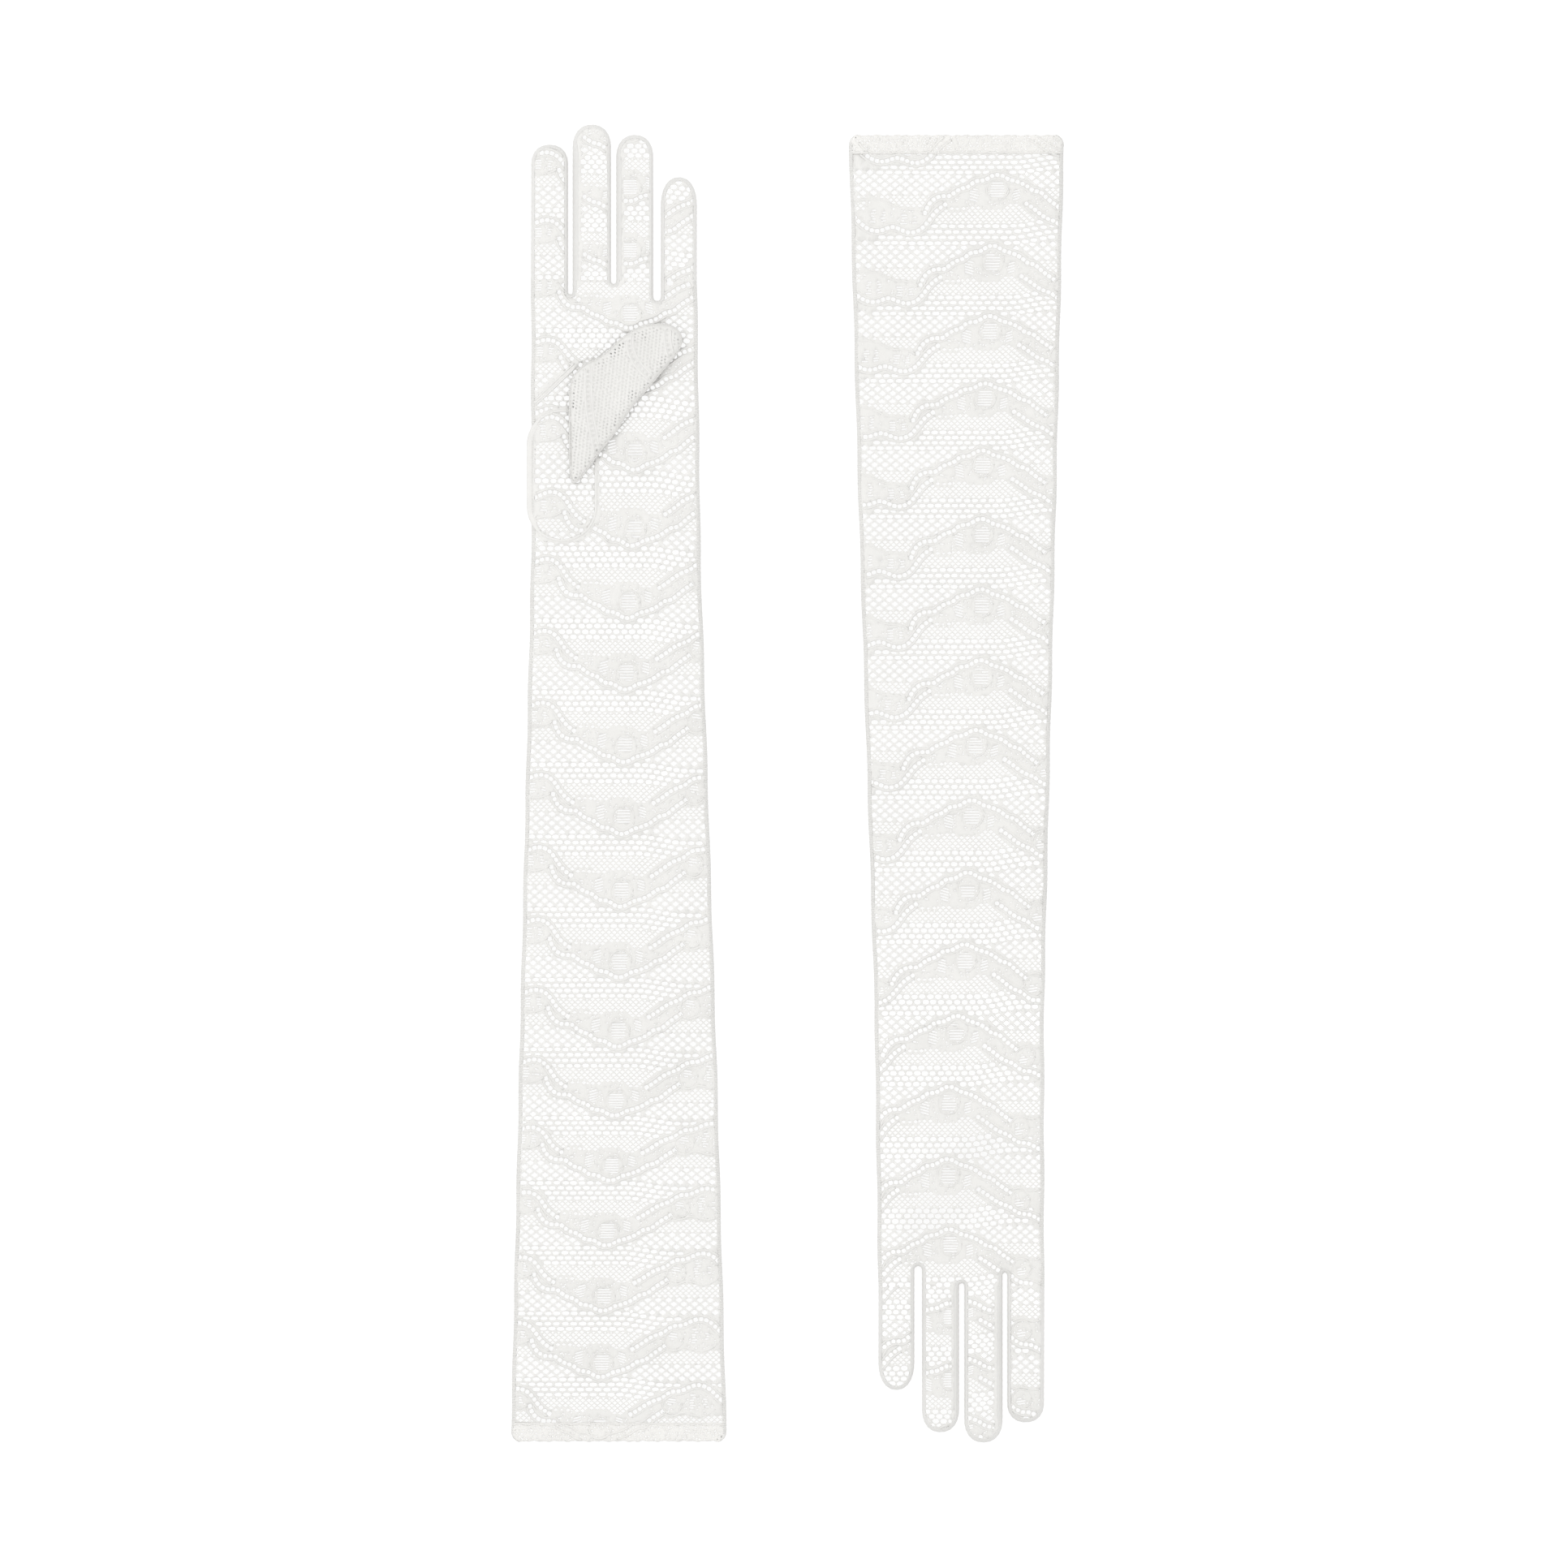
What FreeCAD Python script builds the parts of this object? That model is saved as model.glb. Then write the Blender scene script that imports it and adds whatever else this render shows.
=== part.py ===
import FreeCAD, Part
import math
import os
import Sketcher

# A pair of opera-length lace gloves that lie flat side by side, as after they are taken off.
# The left glove lies palm up with its fingers toward +Y and its thumb folded over the palm.
# The right glove lies back up with its fingers toward -Y and its thumb folded under the palm.
#
# Each glove is one flattened tube of lace. It is cut at its fold lines (elbow, wrist, knuckles
# and thumb root) into segments, and each segment is an upper and a lower lace panel that are
# held apart by the folded or seamed fabric at their sides.
#
# Glove frame: u runs across the glove from the hand's thumb-side edge, v runs along the glove
# from the wrist's fold line toward the fingertips, z is the height above the table. Millimetres.

DIMENSIONS = {
    # fabric and the flattened tube
    "fabric": 0.5,
    "tube_height": 6.0,
    "fold_gap": 0.4,
    "hinge_rise": 0.15,
    "layer_gap": 0.3,
    # the pair on the table
    "axis_spacing": 158.0,
    # sleeve and hem
    "hem_width": 100.8,
    "hem_depth": 9.2,
    "hem_fabric": 0.9,
    "hem_overhang": 9.5,
    "upper_sleeve_left": 177.0,
    "upper_sleeve_right": 172.6,
    "elbow_width": 92.2,
    "elbow_overhang": 5.6,
    "forearm_length": 235.0,
    "wrist_width": 79.1,
    # hand and fingers
    "knuckle_line": 133.0,
    "index_width": 17.0,
    "middle_width": 17.7,
    "ring_width": 17.1,
    "little_width": 16.6,
    "index_tip": 195.2,
    "middle_tip": 204.6,
    "ring_tip": 199.8,
    "little_tip": 180.0,
    "index_gap": 2.4,
    "middle_gap": 2.7,
    "ring_gap": 3.8,
    "index_crotch": 125.0,
    "middle_crotch": 130.0,
    "ring_crotch": 122.0,
    # thumb, with its pivot at the centre of the thumb hole
    "thumb_pivot_across": 14.3,
    "thumb_pivot_along": 55.0,
    "thumb_lean": 44.7,
    "thumb_reach": 66.1,
    "thumb_root_radius": 16.5,
    "thumb_tip_radius": 10.5,
    "thumb_height": 5.3,
    "thumb_hole_radius": 12.0,
    "gusset_reach": 29.0,
}

doc = FreeCAD.newDocument("LaceGloves")
sheet = doc.addObject("Spreadsheet::Sheet", "Sizes")
for row, (alias, number) in enumerate(DIMENSIONS.items(), start=1):
    sheet.set(f"A{row}", alias)
    sheet.set(f"B{row}", str(number))
    sheet.setAlias(f"B{row}", alias)
doc.recompute()


class Size:
    """A length with its value and the sheet expression that gives it, so that both stay equal."""

    def __init__(self, value, text=None):
        self.value = float(value)
        self.text = text if text else f"({self.value})"

    def joined(self, other, sign, result):
        return Size(result, f"({self.text} {sign} {other.text})")

    def __add__(self, other):
        other = as_size(other)
        return self.joined(other, "+", self.value + other.value)

    def __sub__(self, other):
        other = as_size(other)
        return self.joined(other, "-", self.value - other.value)

    def __mul__(self, other):
        other = as_size(other)
        return self.joined(other, "*", self.value * other.value)

    def __truediv__(self, other):
        other = as_size(other)
        return self.joined(other, "/", self.value / other.value)

    def __neg__(self):
        return Size(-self.value, f"(-{self.text})")


def as_size(number):
    return number if isinstance(number, Size) else Size(number)


def size(alias):
    return Size(sheet.get(alias), f"Sizes.{alias}")


ZERO = Size(0)
FABRIC = size("fabric")
HALF_GAP = size("fold_gap") / 2
TUBE = size("tube_height")
KNUCKLES = size("knuckle_line")
THUMB_LIFT = TUBE + FABRIC + size("layer_gap")  # the left thumb lies on the palm and its gusset
HAND_LIFT = size("thumb_height") + size("layer_gap") + FABRIC  # the right hand lies on its thumb
HEM_CENTRE = size("hem_width") / 2 - size("hem_overhang")
HALF_SPACING = size("axis_spacing") / 2
WRIST_PLACE = (
    size("upper_sleeve_left") + size("forearm_length") - size("middle_tip")
) / 2
subparts = []


def bind(thing, **expressions):
    for name, length in expressions.items():
        thing.setExpression(name.replace("__", "."), length.text)


def on_table(glove, across, along):
    """The X and Y of a point of the glove frame, where the right glove is turned half round."""
    sign = 1 if glove == "left" else -1
    return (across - HEM_CENTRE - HALF_SPACING) * sign, (along + WRIST_PLACE) * sign


def place(thing, glove, across=ZERO, along=ZERO, lean=ZERO):
    """Puts a solid of the glove frame, or of a frame at (across, along) in it, on the table."""
    x, y = on_table(glove, across, along)
    turn = -lean if glove == "left" else Size(180) - lean
    thing.Placement = FreeCAD.Placement(
        FreeCAD.Vector(x.value, y.value, 0),
        FreeCAD.Rotation(FreeCAD.Vector(0, 0, 1), turn.value),
    )
    bind(thing, Placement__Base__x=x, Placement__Base__y=y)


def publish(thing, glove, name, **where):
    """Places a finished sub-part and names it."""
    place(thing, glove, **where)
    thing.Label = f"{glove}_{name}"
    subparts.append(thing)


# ---- shapes ----


def wedge(near, far):
    """A solid between two rectangles, each (v, low u, high u, low z, high z)."""
    solid = doc.addObject("Part::Wedge", "Wedge")
    v, low_u, high_u, low_z, high_z = [as_size(n) for n in near]
    bind(solid, Ymin=v, Xmin=low_u, Xmax=high_u, Zmin=low_z, Zmax=high_z)
    v, low_u, high_u, low_z, high_z = [as_size(n) for n in far]
    bind(solid, Ymax=v, X2min=low_u, X2max=high_u, Z2min=low_z, Z2max=high_z)
    return solid


def cut(base, tool):
    result = doc.addObject("Part::Cut", "Cut")
    result.Base = base
    result.Tool = tool
    return result


def pad(draw, low, height):
    """A PartDesign body: the outline that draw makes, at height low, padded by height."""
    body = doc.addObject("PartDesign::Body", "Body")
    sketch = body.newObject("Sketcher::SketchObject", "Outline")
    for feature in body.Origin.OriginFeatures:
        if feature.Role == "XY_Plane":
            sketch.AttachmentSupport = (feature, [""])
    sketch.MapMode = "FlatFace"
    bind(sketch, AttachmentOffset__Base__z=low)
    draw(sketch)
    raised = body.newObject("PartDesign::Pad", "Pad")
    raised.Profile = sketch
    bind(raised, Length=height)
    sketch.Visibility = False
    return body


def hold(sketch, kind, geometry, point, length):
    """Fixes a sketch point's X or Y distance from the origin to a length of the sheet."""
    index = sketch.addConstraint(
        Sketcher.Constraint(kind, -1, 1, geometry, point, length.value)
    )
    sketch.setExpression(f"Constraints[{index}]", length.text)


def corner(sketch, geometry, u, v):
    """Fixes the start point of a sketch line."""
    hold(sketch, "DistanceX", geometry, 1, u)
    hold(sketch, "DistanceY", geometry, 1, v)


def vector(u, v):
    return FreeCAD.Vector(as_size(u).value, as_size(v).value, 0)


def draw_polygon(sketch, points):
    count = len(points)
    for n in range(count):
        start, end = points[n], points[(n + 1) % count]
        sketch.addGeometry(Part.LineSegment(vector(*start), vector(*end)), False)
    for n in range(count):
        sketch.addConstraint(Sketcher.Constraint("Coincident", n, 2, (n + 1) % count, 1))
        corner(sketch, n, *points[n])


def draw_finger(sketch, low_u, high_u, base, tip):
    """A strip from base toward the fingertip that ends in half a circle."""
    middle, radius = (low_u + high_u) / 2, (high_u - low_u) / 2
    shoulder = tip - radius
    sketch.addGeometry(Part.LineSegment(vector(low_u, base), vector(high_u, base)), False)
    sketch.addGeometry(Part.LineSegment(vector(high_u, base), vector(high_u, shoulder)), False)
    circle = Part.Circle(vector(middle, shoulder), FreeCAD.Vector(0, 0, 1), radius.value)
    sketch.addGeometry(Part.ArcOfCircle(circle, 0, math.pi), False)
    sketch.addGeometry(Part.LineSegment(vector(low_u, shoulder), vector(low_u, base)), False)
    sketch.addConstraint(Sketcher.Constraint("Coincident", 0, 2, 1, 1))
    sketch.addConstraint(Sketcher.Constraint("Tangent", 1, 2, 2, 1))
    sketch.addConstraint(Sketcher.Constraint("Tangent", 2, 2, 3, 1))
    sketch.addConstraint(Sketcher.Constraint("Coincident", 3, 2, 0, 1))
    sketch.addConstraint(Sketcher.Constraint("Vertical", 1))
    sketch.addConstraint(Sketcher.Constraint("Vertical", 3))
    corner(sketch, 0, low_u, base)
    corner(sketch, 1, high_u, base)
    hold(sketch, "DistanceY", 2, 3, shoulder)


def draw_tapered_slot(sketch, reach, root_radius, tip_radius):
    """Two round ends on the Y axis, the root's at the origin, joined by their outer tangents."""
    slope = math.asin((root_radius.value - tip_radius.value) / reach.value)
    normal = FreeCAD.Vector(math.cos(slope), math.sin(slope), 0)
    mirrored = FreeCAD.Vector(-normal.x, normal.y, 0)
    root, tip = vector(0, 0), vector(0, reach)
    up = FreeCAD.Vector(0, 0, 1)
    root_circle = Part.Circle(root, up, root_radius.value)
    tip_circle = Part.Circle(tip, up, tip_radius.value)
    sketch.addGeometry(
        Part.ArcOfCircle(root_circle, math.pi - slope, 2 * math.pi + slope), False
    )
    right = [root + normal * root_radius.value, tip + normal * tip_radius.value]
    left = [tip + mirrored * tip_radius.value, root + mirrored * root_radius.value]
    sketch.addGeometry(Part.LineSegment(*right), False)
    sketch.addGeometry(Part.ArcOfCircle(tip_circle, slope, math.pi - slope), False)
    sketch.addGeometry(Part.LineSegment(*left), False)
    for first, second in ((0, 1), (1, 2), (2, 3), (3, 0)):
        sketch.addConstraint(Sketcher.Constraint("Tangent", first, 2, second, 1))
    sketch.addConstraint(Sketcher.Constraint("Coincident", 0, 3, -1, 1))
    sketch.addConstraint(Sketcher.Constraint("PointOnObject", 2, 3, -2))
    hold(sketch, "DistanceY", 2, 3, reach)
    for arc, radius in ((0, root_radius), (2, tip_radius)):
        index = sketch.addConstraint(Sketcher.Constraint("Radius", arc, radius.value))
        sketch.setExpression(f"Constraints[{index}]", radius.text)


def round_hole(across, along, radius):
    """A cylinder that goes through everything at one place, to cut a round hole."""
    tool = doc.addObject("Part::Cylinder", "HoleTool")
    tool.Height = 100
    bind(tool, Radius=radius, Placement__Base__x=across, Placement__Base__y=along)
    tool.Placement.Base.z = -50
    bind(tool, Placement__Base__z=Size(-50))
    return tool


# ---- the sections of one glove ----


def section(v, low_u, high_u, low_z, high_z):
    """The outer rectangle of the flattened tube at one place along it."""
    return {"v": v, "u": (low_u, high_u), "z": (low_z, high_z)}


def tube_panel(glove, name, near, far, side):
    """The upper or lower lace panel between two sections of the tube."""
    ends = []
    for end in (near, far):
        low_z, high_z = end["z"]
        if side == "upper":
            ends.append((end["v"], *end["u"], high_z - FABRIC, high_z))
        else:
            ends.append((end["v"], *end["u"], low_z, low_z + FABRIC))
    publish(wedge(*ends), glove, name)


def tube_side(glove, name, near, far, edge):
    """The folded or seamed fabric between the panels, on the low or high edge of the tube."""
    ends = []
    for end in (near, far):
        low_u, high_u = end["u"]
        low_z, high_z = end["z"]
        across = (low_u, low_u + FABRIC) if edge == "low" else (high_u - FABRIC, high_u)
        ends.append((end["v"], *across, low_z + FABRIC, high_z - FABRIC))
    publish(wedge(*ends), glove, name)


def tube(glove, segment, near, far):
    """The two panels and two sides of one straight segment of the sleeve."""
    upper, lower = panel_sides(glove)
    tube_panel(glove, f"{segment}_{upper}_panel", near, far, "upper")
    tube_panel(glove, f"{segment}_{lower}_panel", near, far, "lower")
    tube_side(glove, f"{segment}_thumb_side_fold", near, far, "low")
    tube_side(glove, f"{segment}_little_finger_side_seam", near, far, "high")


def panel_sides(glove):
    """The names of the panel that faces up and of the one that faces the table."""
    return ("palm", "back") if glove == "left" else ("back", "palm")


def hem_line(glove):
    return -(size(f"upper_sleeve_{glove}") + size("forearm_length"))


def hem_section(glove, v):
    low_u = -size("hem_overhang")
    return section(v, low_u, low_u + size("hem_width"), ZERO, TUBE)


def elbow_section(v):
    low_u = -size("elbow_overhang")
    return section(v, low_u, low_u + size("elbow_width"), ZERO, TUBE)


def wrist_section(v, top):
    return section(v, ZERO, size("wrist_width"), ZERO, top)


def make_sleeve(glove):
    """The upper sleeve from the hem band to the elbow's fold line, and the forearm after it."""
    hand_top = TUBE if glove == "left" else TUBE + HAND_LIFT
    hem = hem_line(glove)
    elbow = -size("forearm_length")
    band_end = hem + size("hem_depth")
    tube(glove, "upper_sleeve", hem_section(glove, band_end), elbow_section(elbow - HALF_GAP))
    make_hem_band(glove, hem, band_end)
    tube(glove, "forearm", elbow_section(elbow + HALF_GAP), wrist_section(-HALF_GAP, hand_top))


def make_hem_band(glove, start, end):
    """The turned and doubled edge of the lace, as a ring round the sleeve's mouth."""
    thick = size("hem_fabric")
    low_u = -size("hem_overhang")
    high_u = low_u + size("hem_width")
    outer = wedge((start, low_u, high_u, ZERO, TUBE), (end, low_u, high_u, ZERO, TUBE))
    hollow = (low_u + thick, high_u - thick, thick, TUBE - thick)
    inner = wedge((start - 1, *hollow), (end + 1, *hollow))
    publish(cut(outer, inner), glove, "hem_band")


# ---- hand and fingers ----


FINGERS = ("index", "middle", "ring", "little")


def finger_edges():
    """Each finger's low and high edge across the hand, from the widths and the gaps between."""
    edges = {}
    start = ZERO
    for finger in FINGERS:
        end = start + size(f"{finger}_width")
        edges[finger] = (start, end)
        if finger != FINGERS[-1]:
            start = end + size(f"{finger}_gap")
    return edges


def hand_outline():
    """The hand's outline from the wrist to the knuckles, with a short stub for each finger."""
    edges = finger_edges()
    knuckles = KNUCKLES - HALF_GAP
    points = [(ZERO, HALF_GAP), (size("wrist_width"), HALF_GAP)]
    for finger in reversed(FINGERS):
        low_u, high_u = edges[finger]
        points += [(high_u, knuckles), (low_u, knuckles)]
        if finger != FINGERS[0]:
            before = FINGERS[FINGERS.index(finger) - 1]
            crotch = size(f"{before}_crotch")
            points += [(low_u, crotch), (edges[before][1], crotch)]
    return points


def hand_panel(low):
    points = hand_outline()
    return pad(lambda sketch: draw_polygon(sketch, points), low, FABRIC)


def pierced(solid):
    """A panel of the glove frame with the round hole that the thumb goes through."""
    across, along = size("thumb_pivot_across"), size("thumb_pivot_along")
    return cut(solid, round_hole(across, along, size("thumb_hole_radius")))


def make_hand(glove):
    lift = ZERO if glove == "left" else HAND_LIFT
    low, high = lift, lift + TUBE - FABRIC
    palm_low, back_low = (high, low) if glove == "left" else (low, high)
    publish(pierced(hand_panel(palm_low)), glove, "hand_palm_panel")
    publish(hand_panel(back_low), glove, "hand_back_panel")

    near = section(HALF_GAP, ZERO, size("wrist_width"), lift, lift + TUBE)
    little_edge = finger_edges()["little"][1]
    far = section(KNUCKLES - HALF_GAP, ZERO, little_edge, lift, lift + TUBE)
    tube_side(glove, "hand_thumb_side_fold", near, far, "low")
    tube_side(glove, "hand_little_finger_side_seam", near, far, "high")
    make_crotches(glove, lift)


def make_crotches(glove, lift):
    """The strips between the finger stubs, each bent in a U round the foot of a finger gap."""
    edges = finger_edges()
    end = KNUCKLES - HALF_GAP
    low_z, high_z = lift + FABRIC, lift + TUBE - FABRIC
    strips = []
    for finger, following in zip(FINGERS, FINGERS[1:]):
        gap_low, gap_high = edges[finger][1], edges[following][0]
        crotch = size(f"{finger}_crotch")
        outside = (gap_low - FABRIC, gap_high + FABRIC, low_z, high_z)
        inside = (gap_low, gap_high, low_z - 1, high_z + 1)
        block = wedge((crotch - FABRIC, *outside), (end, *outside))
        gap = wedge((crotch, *inside), (end + 1, *inside))
        strips.append(cut(block, gap))
    group = doc.addObject("Part::Compound", "Crotches")
    group.Links = strips
    publish(group, glove, "finger_crotch_strips")


def make_finger(glove, finger):
    """One finger past the knuckle line: two panels and the fourchette that bends round its tip."""
    lift = ZERO if glove == "left" else HAND_LIFT
    low_u, high_u = finger_edges()[finger]
    base, tip = KNUCKLES + HALF_GAP, size(f"{finger}_tip")

    def outline(sketch):
        draw_finger(sketch, low_u, high_u, base, tip)

    def inner_outline(sketch):
        draw_finger(sketch, low_u + FABRIC, high_u - FABRIC, base - 1, tip - FABRIC)

    upper, lower = panel_sides(glove)
    publish(pad(outline, lift + TUBE - FABRIC, FABRIC), glove, f"{finger}_{upper}_panel")
    publish(pad(outline, lift, FABRIC), glove, f"{finger}_{lower}_panel")
    block = pad(outline, lift + FABRIC, TUBE - FABRIC * 2)
    hollow = pad(inner_outline, lift, TUBE)
    publish(cut(block, hollow), glove, f"{finger}_fourchette")


# ---- thumb ----


def make_gusset(glove):
    """The oval gusset that the thumb is sewn into, flat on the palm panel's outer face."""
    low = TUBE if glove == "left" else HAND_LIFT - FABRIC
    reach, radius = size("gusset_reach"), size("thumb_root_radius")
    oval = pad(lambda sketch: draw_tapered_slot(sketch, reach, radius, radius), low, FABRIC)
    hole = round_hole(ZERO, reach, size("thumb_hole_radius"))
    across = size("thumb_pivot_across")
    along = size("thumb_pivot_along") - reach
    publish(cut(oval, hole), glove, "thumb_gusset", across=across, along=along)


def make_thumb(glove):
    """The thumb's stall, drawn along its own axis with the thumb hole's centre as its origin.

    Its inner panel faces the palm and has the hole that the thumb enters by.
    """
    lift = THUMB_LIFT if glove == "left" else ZERO
    height = size("thumb_height")
    reach = size("thumb_reach")
    root, tip = size("thumb_root_radius"), size("thumb_tip_radius")

    def outline(sketch):
        draw_tapered_slot(sketch, reach, root, tip)

    def inner_outline(sketch):
        draw_tapered_slot(sketch, reach, root - FABRIC, tip - FABRIC)

    low, high = lift, lift + height - FABRIC
    inner_low, outer_low = (low, high) if glove == "left" else (high, low)
    where = {
        "across": size("thumb_pivot_across"),
        "along": size("thumb_pivot_along"),
        "lean": size("thumb_lean"),
    }
    hole = round_hole(ZERO, ZERO, size("thumb_hole_radius"))
    publish(cut(pad(outline, inner_low, FABRIC), hole), glove, "thumb_inner_panel", **where)
    publish(pad(outline, outer_low, FABRIC), glove, "thumb_outer_panel", **where)
    block = pad(outline, lift + FABRIC, height - FABRIC * 2)
    hollow = pad(inner_outline, lift, height)
    publish(cut(block, hollow), glove, "thumb_side_seam", **where)


# ---- fold axes ----


def print_axes(glove):
    """Where each fold turns: just above the tube at a fold line, and in the thumb hole."""
    hand_lift = ZERO if glove == "left" else HAND_LIFT
    thumb_lift = THUMB_LIFT if glove == "left" else ZERO
    rise = TUBE + size("hinge_rise")
    across = size("wrist_width") / 2
    elbow = -size("forearm_length")
    thumb = (size("thumb_pivot_across"), size("thumb_pivot_along"))
    axes = {
        "elbow_fold": (HEM_CENTRE, elbow, rise),
        "wrist_fold": (across, ZERO, hand_lift + rise),
        "thumb_swing": (*thumb, thumb_lift + size("thumb_height") / 2),
    }
    for finger, (low_u, high_u) in finger_edges().items():
        axes[f"{finger}_knuckle"] = ((low_u + high_u) / 2, KNUCKLES, hand_lift + rise)
    for name, (across, along, height) in axes.items():
        x, y = on_table(glove, across, along)
        print(f"{glove}_{name} at ({x.value:.3f}, {y.value:.3f}, {height.value:.3f})")


# ---- the pair ----


for glove in ("left", "right"):
    make_sleeve(glove)
    make_hand(glove)
    for finger in FINGERS:
        make_finger(glove, finger)
    make_gusset(glove)
    make_thumb(glove)
doc.recompute()

for thing in doc.Objects:
    if "Invalid" in thing.State or "Error" in thing.State:
        raise RuntimeError(f"{thing.Label} failed to build: {thing.State}")
for part in subparts:
    if part.Shape.isNull() or not part.Shape.isValid() or part.Shape.Volume <= 0:
        raise RuntimeError(f"{part.Label} has no valid solid")

os.makedirs("parts", exist_ok=True)
for part in subparts:
    part.Shape.exportStep(f"parts/{part.Label}.step")

whole = Part.makeCompound([part.Shape for part in subparts]).BoundBox
print(f"{len(subparts)} sub-parts, {whole.XLength:.1f} x {whole.YLength:.1f} x {whole.ZLength:.1f} mm")
print(f"from ({whole.XMin:.2f}, {whole.YMin:.2f}, {whole.ZMin:.2f})")
for glove in ("left", "right"):
    print_axes(glove)
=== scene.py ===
"""A pair of opera-length lace gloves, laid flat head to foot, the left one palm up.

Each glove is worked out in its own frame, in millimetres: u runs across from the thumb side, v runs from
the wrist fold toward the fingertips, z is up from the table. The lace is cut as real openings in thin
cloth: one pattern for each glove, which the palm and the back share.
"""
import math

import bpy
import numpy as np
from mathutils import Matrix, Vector
from mathutils.geometry import delaunay_2d_cdt


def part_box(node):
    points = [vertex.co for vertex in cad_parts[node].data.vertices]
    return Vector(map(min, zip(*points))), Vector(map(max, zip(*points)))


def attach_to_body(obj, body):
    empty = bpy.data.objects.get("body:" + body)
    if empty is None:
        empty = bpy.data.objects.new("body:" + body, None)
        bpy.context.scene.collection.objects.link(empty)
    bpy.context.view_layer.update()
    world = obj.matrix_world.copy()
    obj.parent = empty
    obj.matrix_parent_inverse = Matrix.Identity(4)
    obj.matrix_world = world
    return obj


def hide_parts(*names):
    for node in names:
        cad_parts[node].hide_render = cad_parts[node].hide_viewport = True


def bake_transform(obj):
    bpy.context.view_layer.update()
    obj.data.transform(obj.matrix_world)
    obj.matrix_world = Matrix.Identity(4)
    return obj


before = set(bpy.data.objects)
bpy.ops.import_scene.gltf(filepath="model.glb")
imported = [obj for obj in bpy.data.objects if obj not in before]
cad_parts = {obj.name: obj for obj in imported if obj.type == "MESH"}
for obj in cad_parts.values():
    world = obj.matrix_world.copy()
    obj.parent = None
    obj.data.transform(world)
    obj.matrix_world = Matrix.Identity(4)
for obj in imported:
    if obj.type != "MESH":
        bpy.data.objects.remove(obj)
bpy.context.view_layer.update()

rng = np.random.default_rng(7)
MM = 0.001

# ---------------------------------------------------------------- camera, floor and lights


def make_camera():
    camera = bpy.data.cameras.new("Camera")
    camera.type = "ORTHO"
    camera.ortho_scale = 0.734
    camera.clip_end = 10
    seen = bpy.data.objects.new("Camera", camera)
    seen.location = (-0.0017, -0.0002, 1.5)
    bpy.context.scene.collection.objects.link(seen)
    bpy.context.scene.camera = seen


def area_light(name, place, size, power):
    light = bpy.data.lights.new(name, "AREA")
    light.shape = "DISK"
    light.size = size
    light.energy = power
    made = bpy.data.objects.new(name, light)
    made.location = place
    made.rotation_mode = "QUATERNION"
    made.rotation_quaternion = (-Vector(place)).to_track_quat("-Z", "Y")
    bpy.context.scene.collection.objects.link(made)


def make_studio():
    mesh = bpy.data.meshes.new("Floor")
    far = 6.0
    mesh.from_pydata([(-far, -far, 0), (far, -far, 0), (far, far, 0), (-far, far, 0)], [], [(0, 1, 2, 3)])
    floor = bpy.data.objects.new("Floor", mesh)
    bpy.context.scene.collection.objects.link(floor)
    floor.location.z = -0.0004
    material = bpy.data.materials.new("Floor")
    material.use_nodes = True
    shader = material.node_tree.nodes["Principled BSDF"]
    shader.inputs["Base Color"].default_value = (0.15, 0.15, 0.15, 1)
    shader.inputs["Roughness"].default_value = 0.9
    shader.inputs["Emission Color"].default_value = (1, 1, 1, 1)
    shader.inputs["Emission Strength"].default_value = 0.89
    mesh.materials.append(material)

    world = bpy.data.worlds.new("Studio")
    bpy.context.scene.world = world
    world.use_nodes = True
    background = world.node_tree.nodes["Background"]
    background.inputs["Color"].default_value = (1.0, 1.0, 0.995, 1)
    background.inputs["Strength"].default_value = 1.0
    area_light("Key", (-0.9, 0.8, 1.7), 1.4, 10)
    area_light("Fill", (1.0, -0.9, 1.8), 1.6, 4)
    bpy.context.scene.view_settings.view_transform = "Standard"


# ---------------------------------------------------------------- materials


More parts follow.
